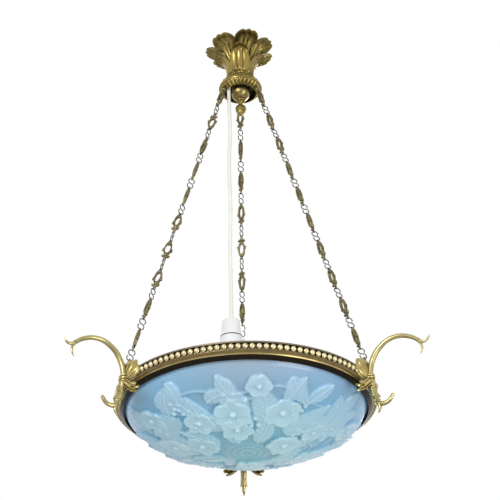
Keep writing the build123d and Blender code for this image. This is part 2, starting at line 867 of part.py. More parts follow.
def bead_band():
    """Strip of pearls seated in the ring's groove."""
    inner = bead_groove + seat_gap
    level = ring_level + (bead_groove_top + bead_groove_bottom) / 2
    height = bead_groove_top - bead_groove_bottom - 2 * seat_gap
    back = degrees(asin((bead_centre_out - seat_gap - bead_strip / 2) / bead_radius))
    with BuildPart() as band:
        with BuildSketch(Plane.XY.offset(level)):
            Circle(inner + bead_strip)
            Circle(inner, mode=Mode.SUBTRACT)
        extrude(amount=height / 2, both=True)
        for angle in bead_angles():
            with Locations(facing(angle)):
                with Locations((0, level, bead_groove + bead_centre_out)):
                    Sphere(bead_radius, arc_size1=-back, align=(Align.CENTER, Align.CENTER, Align.NONE))
        for azimuth in chain_azimuths.values():
            with Locations(facing(azimuth)):
                with Locations(*screw_places(bead_groove)):
                    Cylinder(screw_radius, 4 * bead_strip, mode=Mode.SUBTRACT)
    save(band, "bead_band")


def seat_gasket():
    """Felt ring between the ledge and the glass lip."""
    with BuildPart() as gasket:
        with BuildSketch(Plane.XY.offset(ring_level + ledge_top)):
            Circle(dish_lip)
            Circle(ring_mouth, mode=Mode.SUBTRACT)
        extrude(amount=gasket_thickness)
    save(gasket, "seat_gasket")


def bowl_outline(inset, edge):
    """Half outline of the bowl, moved in by the wall, closed through its rim points."""
    bottom = dish_foot - glass_depth
    points = []
    for out, up in glass_profile:
        points.append((dish_neck * out - inset * out**2, bottom + glass_depth * up + inset))
    with BuildLine() as outline:
        first = TangentArc(points[0], points[1], tangent=(1, 0))
        second = TangentArc(points[1], points[2], tangent=first % 1)
        TangentArc(points[2], points[3], tangent=second % 1)
        Polyline(points[3], *edge, (0, edge[-1][1]), points[0])
    return outline.edges()


def glass_dish():
    """Shallow glass bowl with a lip that rests on the gasket."""
    lip_top = dish_foot + glass_lip_height
    lip = [(dish_neck, dish_foot), (dish_lip, dish_foot), (dish_lip, lip_top)]
    mouth = [(dish_neck - glass_wall, lip_top)]
    with BuildPart() as dish:
        for inset, edge, mode in ((0, lip, Mode.ADD), (glass_wall, mouth, Mode.SUBTRACT)):
            with BuildSketch(Plane.XZ):
                make_face(bowl_outline(inset, edge))
            revolve(axis=Axis.Z, mode=mode)
    save(dish, "glass_dish")


def arm_curve(start, points, tangent):
    """Chain of tangent arcs in the XZ plane through points on an arm."""
    with BuildLine(Plane.XZ) as curve:
        last = (ring_radius + start[0], ring_level + start[1])
        for out, height in points:
            place = (ring_radius + out, ring_level + height)
            arc = TangentArc(last, place, tangent=tangent)
            tangent = ((arc % 1).X, (arc % 1).Z)
            last = place
    return curve.wire()


def steps(start, end, count):
    """Evenly spaced values from start towards end, which they stop short of."""
    return [start + (end - start) * place / count for place in range(count)]


def prong(start, points, tangent, shares):
    """One pointed prong of an arm."""
    radii = [arm_tip_radius * share for share in shares] + [prong_tip_radius]
    return tapered(arm_curve(start, points, tangent), radii, Vector(0, 1, 0))


def arm_shape():
    """One arm along +X: horn, forked tip, stem, two prongs, and the pad and block on the ring."""
    fork = spine_points[-1]
    swelling = steps(arm_foot_radius, arm_root_radius, swelling_stations)
    thinning = steps(arm_root_radius, arm_tip_radius, thinning_stations - 1) + [arm_tip_radius]
    spine = arm_curve(arm_foot, spine_points, spine_start)
    with BuildPart() as arm:
        add(tapered(spine, swelling + thinning, Vector(0, 1, 0)))
        add(prong(fork, upper_prong_points, upper_prong_start, upper_prong_shares))
        add(prong(fork, lower_prong_points, lower_prong_start, lower_prong_shares))
        add(prong(arm_foot, side_prong_points, side_prong_start, side_prong_shares))
        add(prong(arm_foot, drop_prong_points, drop_prong_start, drop_prong_shares))
        for out, height in (fork, arm_foot):
            with Locations((ring_radius + out, 0, ring_level + height)):
                Sphere(arm_tip_radius + arm_node_swell)
        with BuildSketch(Plane.XY.offset(ring_level + block_bottom)):
            with Locations(((ring_radius + seat_gap + arm_spine) / 2, 0)):
                Rectangle(arm_spine - ring_radius - seat_gap, 2 * block_half_width)
        extrude(amount=block_top - block_bottom)
        with BuildSketch(Plane.XY.offset(ring_level + pad_bottom)):
            with Locations((pad_outer / 2, 0)):
                Rectangle(pad_outer, 2 * pad_half_width)
            Circle(bead_groove + 2 * seat_gap + bead_strip, mode=Mode.SUBTRACT)
        extrude(amount=pad_top - pad_bottom)
        with Locations(facing(0)):
            with Locations(*screw_places((bead_groove + screw_end) / 2)):
                Cylinder(screw_radius, screw_end - bead_groove, mode=Mode.SUBTRACT)
    return arm.part


def ring_eye_foot(side):
    """Lowest point of the chain eye's ring, where its shank starts."""
    return chain_point(side, ring_eye_along() + ring_eye_loop)


def ring_eye_shank(side):
    """Length of the chain eye's shank down into its arm's block."""
    return ring_eye_foot(side).Z - ring_level - block_top + ring_eye_thread


def arms():
    """Three equal arms round the ring, with a hole in each block for its chain eye."""
    shape = arm_shape()
    for side, azimuth in chain_azimuths.items():
        with BuildPart() as arm:
            add(shape.rotate(Axis.Z, azimuth))
            with BuildSketch(Plane(origin=ring_eye_foot(side))):
                Circle(ring_eye_wire / 2)
            extrude(amount=-ring_eye_shank(side), mode=Mode.SUBTRACT)
        save(arm, f"arm_{side}")


def chain_eyes():
    """Three screw eyes on the arms that hold the ends of the chains."""
    with BuildPart() as eyes:
        for side in chain_azimuths:
            across = link_plane(side, 0, s_turn(side, chain_pairs - 1)).x_dir
            with Locations(Plane(origin=chain_point(side, ring_eye_along()), z_dir=across)):
                Torus(ring_eye_loop, ring_eye_wire / 2)
            with BuildSketch(Plane(origin=ring_eye_foot(side))):
                Circle(ring_eye_wire / 2)
            extrude(amount=-ring_eye_shank(side))
    save(eyes, "chain_eyes")


def arm_screws():
    """Six countersunk screws from inside the ring into the arms' pads."""
    head_end = ring_inner + screw_head_depth
    with BuildPart() as screws:
        for azimuth in chain_azimuths.values():
            with Locations(facing(azimuth)):
                with Locations(*screw_places(ring_inner + screw_head_depth / 2)):
                    Cone(screw_head_radius, screw_radius, screw_head_depth)
                with Locations(*screw_places((head_end + screw_end) / 2)):
                    Cylinder(screw_radius, screw_end - head_end)
    save(screws, "arm_screws")


def bow_place(point, side):
    """A place on the bow along +X, on one side of its arm."""
    out, across, height = point
    return Vector(ring_radius + out, side * across, ring_level + height)


def bow_tail(side):
    """Path of one ribbon tail."""
    with BuildLine() as tail:
        ThreePointArc(*[bow_place(point, side) for point in tail_points])
    return tail.wire()


def bow_shape():
    """Ribbon bow along +X: two loops, straps, the knot round the spine and two tails."""
    with BuildPart() as bow:
        with BuildSketch(Plane.XY.offset(ring_level + knot_bottom)):
            with Locations((arm_spine, 0)):
                Circle(knot_radius)
        extrude(amount=knot_top - knot_bottom)
        for side in (-1, 1):
            with BuildSketch(facing(0).offset(ring_radius + bow_loop_out)):
                with Locations((side * bow_loop_side, ring_level + bow_loop_height)):
                    Circle(bow_loop_radius)
                    Circle(bow_loop_radius - bow_ribbon_thickness, mode=Mode.SUBTRACT)
            extrude(amount=bow_ribbon_width / 2, both=True)
            start = bow_place(strap_start, side)
            end = bow_place(strap_end, side)
            with Locations(Plane(origin=(start + end) / 2, z_dir=end - start)):
                Cylinder(bow_strap_radius, (end - start).length)
            add(tapered(bow_tail(side), tail_radii, Vector(1, 0, 0)))
        with BuildSketch(Plane.XY.offset(ring_level + knot_top + knot_bore_over)):
            with Locations((arm_spine, 0)):
                Circle(arm_root_radius + knot_gap)
        extrude(amount=knot_bottom - knot_top - 2 * knot_bore_over, mode=Mode.SUBTRACT)
    return bow.part


def bows():
    """Three equal bows, one tied round each arm."""
    shape = bow_shape()
    for side, azimuth in chain_azimuths.items():
        with BuildPart() as bow:
            add(shape.rotate(Axis.Z, azimuth))
        save(bow, f"bow_{side}")


def terminal_block():
    """Insulated terminal block inside the canopy, at the top of the flex."""
    out = outward(flex_azimuth)
    centre = out * (terminal_inner + terminal_depth / 2) + Vector(0, 0, terminal_bottom)
    face = out * (terminal_inner + terminal_depth) + Vector(0, 0, terminal_bottom + terminal_height / 2)
    with BuildPart() as block:
        with BuildSketch(Plane(origin=centre, x_dir=out, z_dir=(0, 0, 1))):
            Rectangle(terminal_depth, terminal_width)
        extrude(amount=terminal_height)
        with BuildSketch(Plane(origin=face, x_dir=(0, 0, 1), z_dir=out)):
            with GridLocations(terminal_height / 2, terminal_width / 2, 2, 2):
                Circle(terminal_screw)
        extrude(amount=-terminal_screw_depth, mode=Mode.SUBTRACT)
    save(block, "terminal_block")


def flex_inner():
    """Fixed stretch of flex: down the canopy, then an S-bend out to the hub's mouth."""
    out = outward(flex_azimuth)
    section = Plane(origin=(0, 0, 0), x_dir=out, z_dir=out.cross(Vector(0, 0, 1)))
    middle = (flex_inner_offset + flex_offset) / 2
    with BuildPart() as flex:
        with BuildLine(section) as path:
            Line((flex_inner_offset, terminal_bottom), (flex_inner_offset, canopy_base))
            RadiusArc((flex_inner_offset, canopy_base), (middle, flex_middle), -flex_bend)
            RadiusArc((middle, flex_middle), (flex_offset, flex_exit), flex_bend)
        with BuildSketch(Plane(origin=path.wire() @ 0, z_dir=path.wire() % 0)):
            Circle(flex_radius)
        sweep(path=path.wire())
    save(flex, "flex_inner")


def flex_grommet():
    """Plain bush in the hub cap's hole for the flex."""
    place = outward(flex_azimuth) * grommet_offset
    with BuildPart() as grommet:
        with BuildSketch(Plane.XY.offset(hub_top)):
            with Locations((place.X, place.Y)):
                Circle(grommet_bore + grommet_wall)
                Circle(grommet_bore, mode=Mode.SUBTRACT)
        extrude(amount=-hub_wall)
    save(grommet, "flex_grommet")


def flex_cord():
    """Free flex, pulled straight by the lampholder, with its end inside the holder's cap."""
    with BuildPart() as flex:
        with BuildSketch(holder_plane(holder_top - flex_tail)):
            Circle(flex_radius)
        extrude(amount=flex_length + flex_tail)
    save(flex, "flex_cord")


def holder_cap_outline(inset):
    """Half outline of the lampholder's cap, moved in by the wall."""
    foot = (holder_cap_radius - inset, holder_cap_bottom)
    shoulder = (holder_cap_top - inset, holder_top - holder_cap_crown)
    crown = (holder_cap_top - holder_cap_crown, holder_top - inset)
    with BuildLine() as outline:
        Line(foot, shoulder)
        ThreePointArc(shoulder, holder_crown_middle(shoulder, crown), crown)
        Polyline(crown, (0, crown[1]), (0, holder_cap_bottom), foot)
    return outline.edges()


def holder_crown_middle(shoulder, crown):
    """Middle of the rounded edge between the cap's side and its top."""
    return (
        crown[0] + (shoulder[0] - crown[0]) * sin(radians(45)),
        shoulder[1] + (crown[1] - shoulder[1]) * sin(radians(45)),
    )


def holder_cap():
    """Tapered upper half of the lampholder, which grips the flex."""
    with BuildPart() as cap:
        for inset, mode in ((0, Mode.ADD), (holder_wall, Mode.SUBTRACT)):
            with BuildSketch(holder_section()):
                make_face(holder_cap_outline(inset))
            revolve(axis=holder_line(), mode=mode)
        with BuildSketch(holder_plane(holder_top)):
            Circle(flex_radius + flex_grip_gap)
        extrude(amount=-2 * holder_wall, mode=Mode.SUBTRACT)
    save(cap, "holder_cap")


def holder_band():
    """Dark band in the seam between the lampholder's cap and its body."""
    with BuildPart() as band:
        with BuildSketch(holder_plane(holder_body_top + holder_band_gap)):
            Circle(holder_band_radius)
            Circle(holder_neck + holder_band_gap, mode=Mode.SUBTRACT)
        extrude(amount=holder_seam - 2 * holder_band_gap)
    save(band, "holder_band")


def holder_body():
    """Lower half of the lampholder, with a neck that screws up into the cap."""
    shelf = holder_body_top - holder_wall
    inside = holder_body_radius - holder_wall
    neck_top = holder_body_top + holder_neck_height
    with BuildPart() as body:
        with BuildSketch(holder_section()):
            with BuildLine():
                Polyline(
                    (holder_body_radius, holder_body_top),
                    (holder_body_radius, holder_bottom),
                    (inside, holder_bottom),
                    (inside, shelf),
                    (holder_neck_bore, shelf),
                    (holder_neck_bore, neck_top),
                    (holder_neck, neck_top),
                    (holder_neck, holder_body_top),
                    (holder_body_radius, holder_body_top),
                )
            make_face()
        revolve(axis=holder_line())
    save(body, "holder_body")


def contact_block():
    """Insulating block in the lampholder's neck with bores for the two plungers."""
    with BuildPart() as block:
        with BuildSketch(holder_plane(contact_bottom)):
            Circle(holder_neck_bore - seat_gap)
            with Locations((-plunger_spread, 0), (plunger_spread, 0)):
                Circle(plunger_radius + plunger_gap, mode=Mode.SUBTRACT)
        extrude(amount=contact_block_height)
    save(block, "contact_block")


def contact_plungers():
    """Two sprung contacts that press on the bulb's cap."""
    with BuildPart() as plungers:
        with BuildSketch(holder_plane(bulb_top)):
            with Locations((-plunger_spread, 0), (plunger_spread, 0)):
                Circle(plunger_radius)
        extrude(amount=plunger_length)
    save(plungers, "contact_plungers")


def bayonet_sector(start, end):
    """Two opposite wedges about the lampholder's line, between two angles."""
    reach = 2 * (sleeve_bore + sleeve_wall)
    corners = [(0, 0)]
    for angle in (start, end):
        corners.append((reach * cos(radians(angle)), reach * sin(radians(angle))))
    with BuildSketch(Plane.XY) as sector:
        for turn in (0, 180):
            with Locations(Location((0, 0, 0), (0, 0, turn))):
                Polygon(*corners, align=None)
    return sector.sketch


def bayonet_sleeve():
    """Metal sleeve under the contact block with two L-shaped slots for the bulb's pins."""
    bottom = contact_bottom - sleeve_length
    upper_end = pin_level + plunger_travel + pin_room
    entry = bayonet_sector(bayonet_turn - pin_angle, bayonet_turn + pin_angle)
    track = bayonet_sector(-pin_angle, bayonet_turn + pin_angle)
    with BuildPart() as sleeve:
        with BuildSketch(holder_plane(bottom)):
            Circle(sleeve_bore + sleeve_wall)
            Circle(sleeve_bore, mode=Mode.SUBTRACT)
        extrude(amount=sleeve_length)
        low = entry.moved(holder_plane(bottom).location)
        extrude(low, amount=pin_level - bottom, mode=Mode.SUBTRACT)
        high = track.moved(holder_plane(pin_level - pin_room).location)
        extrude(high, amount=upper_end - pin_level + pin_room, mode=Mode.SUBTRACT)
    save(sleeve, "bayonet_sleeve")


def shade_ring():
    """Threaded ring that turns on the lampholder's body."""
    bottom = holder_bottom + shade_ring_place
    with BuildPart() as ring:
        with BuildSketch(holder_plane(bottom)):
            Circle(shade_ring_radius)
            Circle(holder_body_radius + shade_ring_gap, mode=Mode.SUBTRACT)
        extrude(amount=shade_ring_height)
    save(ring, "shade_ring")


def bulb_cap():
    """Thin metal cap of the bulb with its two bayonet pins, closed above by its insulator."""
    inside = bulb_cap_radius - bulb_cap_wall
    with BuildPart() as cap:
        with BuildSketch(holder_plane(bulb_cap_bottom)):
            Circle(bulb_cap_radius)
        extrude(amount=bulb_cap_height)
        with Locations(Plane(origin=holder_plane(pin_level).origin, z_dir=(1, 0, 0))):
            Cylinder(pin_radius, 2 * pin_reach)
        with BuildSketch(holder_plane(bulb_cap_bottom)):
            Circle(inside)
        extrude(amount=bulb_cap_height - bulb_cap_insulator, mode=Mode.SUBTRACT)
    save(cap, "bulb_cap")


def bulb_outline(inset):
    """Half outline of the bulb's glass below its cap, moved in by the wall."""
    centre = bulb_bottom + bulb_radius
    globe = bulb_radius - inset
    neck = (bulb_neck - inset, bulb_cap_bottom)
    with BuildLine() as outline:
        Spline(neck, (globe, centre), tangents=[(0, -1), (0, -1)])
        CenterArc((0, centre), globe, 0, -90)
        Polyline((0, centre - globe), (0, bulb_cap_bottom), neck)
    return outline.edges()


def bulb_glass():
    """Pear-shaped glass of the bulb."""
    with BuildPart() as glass:
        for inset, mode in ((0, Mode.ADD), (bulb_glass_wall, Mode.SUBTRACT)):
            with BuildSketch(holder_section()):
                make_face(bulb_outline(inset))
            revolve(axis=holder_line(), mode=mode)
    save(glass, "bulb_glass")


os.makedirs("parts", exist_ok=True)
ceiling_plate()
ceiling_hook()
hanging_link()
eye_nut()
stem()
canopy()
canopy_collar()
hub_cap()
hub_skirt()
hub_spacer()
hub_ball()
finial_nut()
hub_eyes()
for chain_side in chain_azimuths:
    chain(chain_side)
rim_ring()
bead_band()
seat_gasket()
glass_dish()
arms()
chain_eyes()
arm_screws()
bows()
terminal_block()
flex_inner()
flex_grommet()
flex_cord()
holder_cap()
holder_band()
holder_body()
contact_block()
contact_plungers()
bayonet_sleeve()
shade_ring()
bulb_cap()
bulb_glass()
print(f"flex bend radius {flex_bend} mm, free flex length {flex_length} mm")
print(f"ring plane at {ring_level:.2f} mm, bulb bottom at {bulb_bottom:.2f} mm")
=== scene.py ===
"""Looks of a hanging dish light: gilt-bronze ring, bows and canopy, openwork chains and an opal glass bowl."""

from math import atan2, cos, pi, radians, sin, sqrt

import bpy
import numpy as np
from mathutils import Matrix, Vector


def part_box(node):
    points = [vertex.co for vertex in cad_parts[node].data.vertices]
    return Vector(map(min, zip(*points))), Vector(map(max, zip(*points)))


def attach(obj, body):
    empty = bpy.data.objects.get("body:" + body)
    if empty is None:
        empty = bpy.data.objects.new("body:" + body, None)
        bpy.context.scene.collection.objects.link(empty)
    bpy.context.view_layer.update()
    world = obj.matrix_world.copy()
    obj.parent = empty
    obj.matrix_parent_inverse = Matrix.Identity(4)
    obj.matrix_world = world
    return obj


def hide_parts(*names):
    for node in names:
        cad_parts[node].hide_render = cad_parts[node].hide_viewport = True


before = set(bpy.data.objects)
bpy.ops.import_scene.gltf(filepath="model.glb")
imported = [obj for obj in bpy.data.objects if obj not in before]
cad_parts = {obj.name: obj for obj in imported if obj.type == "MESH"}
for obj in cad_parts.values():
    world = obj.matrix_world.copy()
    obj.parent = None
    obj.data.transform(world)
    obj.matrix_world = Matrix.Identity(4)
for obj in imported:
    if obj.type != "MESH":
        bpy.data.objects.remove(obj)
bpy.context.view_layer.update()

# Places of the part, in metres
ring_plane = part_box("rim_ring")[1].z - 0.0118
ring_radius = 0.225
arm_azimuths = {"left": 211.5, "right": -28.5, "back": 91.5}
canopy_base = -0.085
hub_top = -0.089
hub_edge = -0.108
hub_rim_bottom = -0.111
hub_bottom = -0.120
holder_x, holder_y = -0.0229965, -0.0110182
flex_exit = -0.118
flex_diameter = 0.007
# Points down the flex: distance below its exit, and how far it stands to the right there
flex_waves = [
    (0.0, 0.0), (0.03, 0.0), (0.10, 0.0022), (0.19, -0.0018), (0.28, 0.0016), (0.37, -0.0014), (0.46, 0.0006),
    (0.49, 0.0), (0.515, 0.0),
]

# Ring: its lowest and highest level, and the colours of its bands by height over the ring plane
rim_low, rim_high = ring_plane - 0.0133, ring_plane + 0.0118
# Painted light in these bands: the black underside is painted shade, the bright line under the cove a painted
# highlight, and the dark band behind the beads painted shade
rim_light_and_shade_bands = [
    (-0.0133, (0.016, 0.012, 0.007, 1)), (-0.0074, (0.018, 0.013, 0.007, 1)), (-0.0070, (0.560, 0.430, 0.180, 1)),
    (-0.0058, (0.560, 0.430, 0.180, 1)), (-0.0048, (0.230, 0.165, 0.065, 1)), (-0.0020, (0.330, 0.250, 0.110, 1)),
    (-0.0014, (0.050, 0.036, 0.014, 1)), (0.0088, (0.050, 0.036, 0.014, 1)), (0.0092, (0.240, 0.195, 0.120, 1)),
    (0.0118, (0.210, 0.170, 0.110, 1)),
]

# Chains
chain_start_radius = 0.0366
chain_start_level = -0.1174
link_pitch = 0.06595
link_middle_back = 0.032975
chain_pairs = 10
chain_sine = 0.185 / (chain_pairs * link_pitch)
chain_cosine = sqrt(1 - chain_sine**2)
link_turns = {
    "left": [42, 12, 48, 66, 66, 16, 0, 14, 54, 70],
    "right": [72, 66, 60, 78, 75, 80, 67, 63, 64, 79],
    "back": [35, 71, 60, 39, 24, 41, 60, 75, 60, 70],
}
flipped_links = {"left": [1, 2], "right": [], "back": [4, 5]}


# Small tools for modelling

def clear_selection():
    """Back to object mode with nothing selected."""
    if bpy.context.object and bpy.context.object.mode != "OBJECT":
        bpy.ops.object.mode_set(mode="OBJECT")
    bpy.ops.object.select_all(action="DESELECT")


def take(*pieces):
    """Selects these pieces alone, the first one active."""
    clear_selection()
    for piece in pieces:
        piece.select_set(True)
    bpy.context.view_layer.objects.active = pieces[0]
    return pieces[0]


def bake_place(piece):
    """Puts a piece's place, turn and size into its mesh."""
    take(piece)
    bpy.ops.object.transform_apply(location=True, rotation=True, scale=True)
    return piece


def apply_modifier(piece, kind, **settings):
    """Adds one modifier, sets it and applies it."""
    take(piece)
    modifier = piece.modifiers.new(kind, kind)
    for key, value in settings.items():
        setattr(modifier, key, value)
    bpy.ops.object.modifier_apply(modifier=modifier.name)
    return piece


def tidy_mesh(piece, gap=0.00001):
    """Merges doubles and turns the faces outwards."""
    take(piece)
    bpy.ops.object.mode_set(mode="EDIT")
    bpy.ops.mesh.select_all(action="SELECT")
    bpy.ops.mesh.remove_doubles(threshold=gap)
    bpy.ops.mesh.normals_make_consistent(inside=False)
    bpy.ops.object.mode_set(mode="OBJECT")
    return piece


def join(name, pieces):
    """Joins pieces into the first and names it."""
    take(*pieces)
    if len(pieces) > 1:
        bpy.ops.object.join()
    whole = bpy.context.object
    whole.name = name
    whole.data.name = name
    return whole


def smooth(piece, angle=40):
    """Smooth shading, with the edges over an angle left sharp."""
    take(piece)
    bpy.ops.object.shade_smooth_by_angle(angle=radians(angle))
    return piece


def copy_of(piece, matrix):
    """A copy with its own mesh, moved by a matrix that goes into the mesh."""
    twin = piece.copy()
    twin.data = piece.data.copy()
    bpy.context.scene.collection.objects.link(twin)
    twin.data.transform(matrix)
    return twin


def discard(*pieces):
    """Removes helper pieces."""
    for piece in pieces:
        bpy.data.objects.remove(piece)


def finish_piece(piece, name, body, finish, stands_for, angle):
    """Names, shades and paints a finished piece, and puts it on its body."""
    smooth(piece, angle)
    piece.name = name
    piece.data.name = name
    piece.data.materials.clear()
    piece.data.materials.append(finishes[finish])
    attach(piece, body)
    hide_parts(*stands_for)


def lathe(profile, centre=(0.0, 0.0), steps=96):
    """Turned solid: one vertex extruded along the profile of (radius, height), then spun about Z."""
    clear_selection()
    bpy.ops.mesh.primitive_plane_add(size=0.001, location=(0, 0, 0))
    piece = bpy.context.object
    bpy.ops.object.mode_set(mode="EDIT")
    bpy.ops.mesh.select_all(action="SELECT")
    bpy.ops.mesh.merge(type="CENTER")
    x, y = centre
    bpy.ops.transform.translate(value=(x + profile[0][0], y, profile[0][1]))
    for last, new in zip(profile, profile[1:]):
        step = (new[0] - last[0], 0, new[1] - last[1])
        bpy.ops.mesh.extrude_region_move(TRANSFORM_OT_translate={"value": step})
    bpy.ops.mesh.select_all(action="SELECT")
    bpy.ops.mesh.spin(steps=steps, angle=2 * pi, center=(x, y, 0), axis=(0, 0, 1))
    bpy.ops.object.mode_set(mode="OBJECT")
    return tidy_mesh(piece)


def ball(radius, place, scale=(1, 1, 1), rings=16):
    """A round boss, flattened or stretched by scale."""
    clear_selection()
    bpy.ops.mesh.primitive_uv_sphere_add(segments=2 * rings, ring_count=rings, radius=radius, location=place)
    piece = bpy.context.object
    piece.scale = scale
    return bake_place(piece)


def ring(major, minor, place, scale=(1, 1, 1), turn=(0, 0, 0), around=32, across=12):
    """A wire ring, stretched by scale."""
    clear_selection()
    bpy.ops.mesh.primitive_torus_add(
        major_radius=major, minor_radius=minor, location=place, rotation=turn,
        major_segments=around, minor_segments=across,
    )
    piece = bpy.context.object
    piece.scale = scale
    return bake_place(piece)


def sheet_of(columns, rows, place, closed=False):
    """A grid whose points go where place(u, v) says, with u and v from 0 to 1."""
    clear_selection()
    bpy.ops.mesh.primitive_grid_add(x_subdivisions=columns, y_subdivisions=rows, size=1)
    piece = bpy.context.object
    flat = np.empty(len(piece.data.vertices) * 3)
    piece.data.vertices.foreach_get("co", flat)
    flat = flat.reshape(-1, 3)
    placed = place(flat[:, 0] + 0.5, flat[:, 1] + 0.5)
    piece.data.vertices.foreach_set("co", np.ascontiguousarray(placed, dtype=np.float32).ravel())
    piece.data.update()
    if closed:
        tidy_mesh(piece)
    return piece


def bar(points, radii, sides=6, smoothness=10):
    """Round tapered bar along a smooth curve through points, closed at its ends."""
    clear_selection()
    bpy.ops.curve.primitive_bezier_curve_add()
    piece = bpy.context.object
    curve = piece.data
    curve.dimensions = "3D"
    curve.bevel_depth = 1.0
    curve.bevel_resolution = sides
    curve.resolution_u = smoothness
    curve.use_fill_caps = True
    spline = curve.splines[0]
    spline.bezier_points.add(len(points) - 2)
    for knot, point, radius in zip(spline.bezier_points, points, radii):
        knot.co = point
        knot.radius = radius
        knot.handle_left_type = "AUTO"
        knot.handle_right_type = "AUTO"
    bpy.ops.object.convert(target="MESH")
    return tidy_mesh(bpy.context.object)


def blend_casting(piece, voxel, faces):
    """Fuses overlapping shapes into one soft casting of about so many faces."""
    apply_modifier(piece, "REMESH", mode="VOXEL", voxel_size=voxel)
    apply_modifier(piece, "SMOOTH", factor=0.6, iterations=4)
    if len(piece.data.polygons) > faces / 2:
        ratio = faces / (2 * len(piece.data.polygons))
        apply_modifier(piece, "DECIMATE", ratio=ratio)
    return piece


def soft_step(low, high, value):
    """Smooth rise from 0 at low to 1 at high."""
    share = np.clip((value - low) / (high - low), 0, 1)
    return share * share * (3 - 2 * share)


def mix(low, high, share):
    """Value between two, by a share."""
    return low + (high - low) * share


def round_points(radius, angle, height):
    """Points at a radius and an azimuth about Z, at a height."""
    return np.stack([radius * np.cos(angle), radius * np.sin(angle), height], axis=1)


# Shader node groups and materials

def feed(tree, made, sockets):
    """Gives each named input of a node a plain value, or a link from another node's output."""
    for name, value in sockets.items():
        if isinstance(value, bpy.types.NodeSocket):
            tree.links.new(value, made.inputs[name])
        else:
            made.inputs[name].default_value = value
    return made


def node(tree, kind, sockets=None, **fields):
    """Adds a shader node, sets its fields and feeds its inputs."""
    made = tree.nodes.new("ShaderNode" + kind)
    for key, value in fields.items():
        setattr(made, key, value)
    return feed(tree, made, sockets or {})


def calculate(tree, operation, *values, **fields):
    """Result of a maths node."""
    return node(tree, "Math", dict(enumerate(values)), operation=operation, **fields).outputs[0]


def spread(tree, value, low, high, to_low=0.0, to_high=1.0):
    """Value carried from one range to another and held at its ends."""
    ends = {"From Min": low, "From Max": high, "To Min": to_low, "To Max": to_high}
    return node(tree, "MapRange", {"Value": value, **ends}).outputs["Result"]


def noise(tree, place, scale, detail, roughness=0.5):
    """Soft noise over a place."""
    sockets = {"Vector": place, "Scale": scale, "Detail": detail, "Roughness": roughness}
    return node(tree, "TexNoise", sockets).outputs["Fac"]


def between(tree, share, low, high):
    """Colour between two, by a share."""
    return node(tree, "Mix", {0: share, 6: low, 7: high}, data_type="RGBA").outputs[2]


def ramp(tree, share, stops):
    """Colour on a ramp of stops, each a place from 0 to 1 and a colour."""
    made = node(tree, "ValToRGB", {"Fac": share})
    elements = made.color_ramp.elements
    elements[0].position, elements[0].color = stops[0]
    elements[1].position, elements[1].color = stops[-1]
    for place, colour in stops[1:-1]:
        elements.new(place).color = colour
    return made.outputs["Color"]


def new_group(name, inputs):
    """Shader group that gives a colour, a roughness and a height: the group, its inputs and its end."""
    group = bpy.data.node_groups.new(name, "ShaderNodeTree")
    for label, value in inputs.items():
        kind = "NodeSocketColor" if isinstance(value, tuple) else "NodeSocketFloat"
        group.interface.new_socket(name=label, in_out="INPUT", socket_type=kind).default_value = value
    for label, kind in (("Color", "Color"), ("Roughness", "Float"), ("Height", "Float")):
        group.interface.new_socket(name=label, in_out="OUTPUT", socket_type="NodeSocket" + kind)
    return group, group.nodes.new("NodeGroupInput").outputs, group.nodes.new("NodeGroupOutput")


def patina_and_shade_group():
    """Gilding worn to bronze, with painted shade: bright on open faces, brown patina and painted shade in the hollows
    that occlusion finds, with soft stains.
    """
    group, given, end = new_group("patina_and_shade", {
        "Open Face Colour": (0.6, 0.45, 0.18, 1), "Hollow Patina And Shade": (0.06, 0.045, 0.02, 1), "Stain Scale": 90.0,
        "Hollow Shade Reach": 0.004, "Wear": 0.5, "Roughness": 0.3,
    })
    place = node(group, "TexCoord").outputs["Object"]
    stains = spread(group, noise(group, place, given["Stain Scale"], 2.0, 0.45), 0.32, 0.62)
    # Occlusion darkens hollows, creases and faces tucked under other parts: painted shade laid over the brown patina
    # there
    hollow_shade = node(group, "AmbientOcclusion", {"Distance": given["Hollow Shade Reach"]}, samples=6)
    open_part = spread(group, hollow_shade.outputs["AO"], 0.30, 0.92)
    worn = node(group, "Mix", {0: given["Wear"], 2: 1.0, 3: stains}, data_type="FLOAT").outputs[0]
    bright = calculate(group, "MULTIPLY", open_part, worn)
    dull = calculate(group, "MULTIPLY_ADD", bright, -0.22, 0.22)
    feed(group, end, {
        "Color": between(group, bright, given["Hollow Patina And Shade"], given["Open Face Colour"]),
        "Roughness": calculate(group, "ADD", dull, given["Roughness"]),
        "Height": noise(group, place, 900.0, 3.0),
    })
    return group


def mottle_group():
    """Slight colour variation and a fine grain, for moulded plastic, rubber, felt and plain steel."""
    group, given, end = new_group("mottle", {
        "Light": (0.8, 0.8, 0.8, 1), "Dark": (0.7, 0.7, 0.7, 1), "Patch Scale": 60.0,
        "Grain Scale": 1500.0, "Roughness": 0.4,
    })
    place = node(group, "TexCoord").outputs["Object"]
    patches = spread(group, noise(group, place, given["Patch Scale"], 4.0), 0.35, 0.65)
    feed(group, end, {
        "Color": between(group, patches, given["Dark"], given["Light"]),
        "Roughness": calculate(group, "MULTIPLY_ADD", patches, 0.12, given["Roughness"]),
        "Height": noise(group, place, given["Grain Scale"], 2.0),
    })
    return group


def new_material(name):
    """Node material: the material, its tree and its Principled shader."""
    material = bpy.data.materials.new(name)
    material.use_nodes = True
    return material, material.node_tree, material.node_tree.nodes["Principled BSDF"]


def painted(name, group, values, bump, bump_reach, others):
    """Material whose colour, roughness and bump come from a group, and whose other sockets are plain."""
    material, tree, surface = new_material(name)
    finish = node(tree, "Group", values, node_tree=group).outputs
    relief = node(tree, "Bump", {"Strength": bump, "Distance": bump_reach, "Height": finish["Height"]})
    feed(tree, surface, {
        "Base Color": finish["Color"], "Roughness": finish["Roughness"], "Normal": relief.outputs["Normal"],
        **others,
    })
    return material


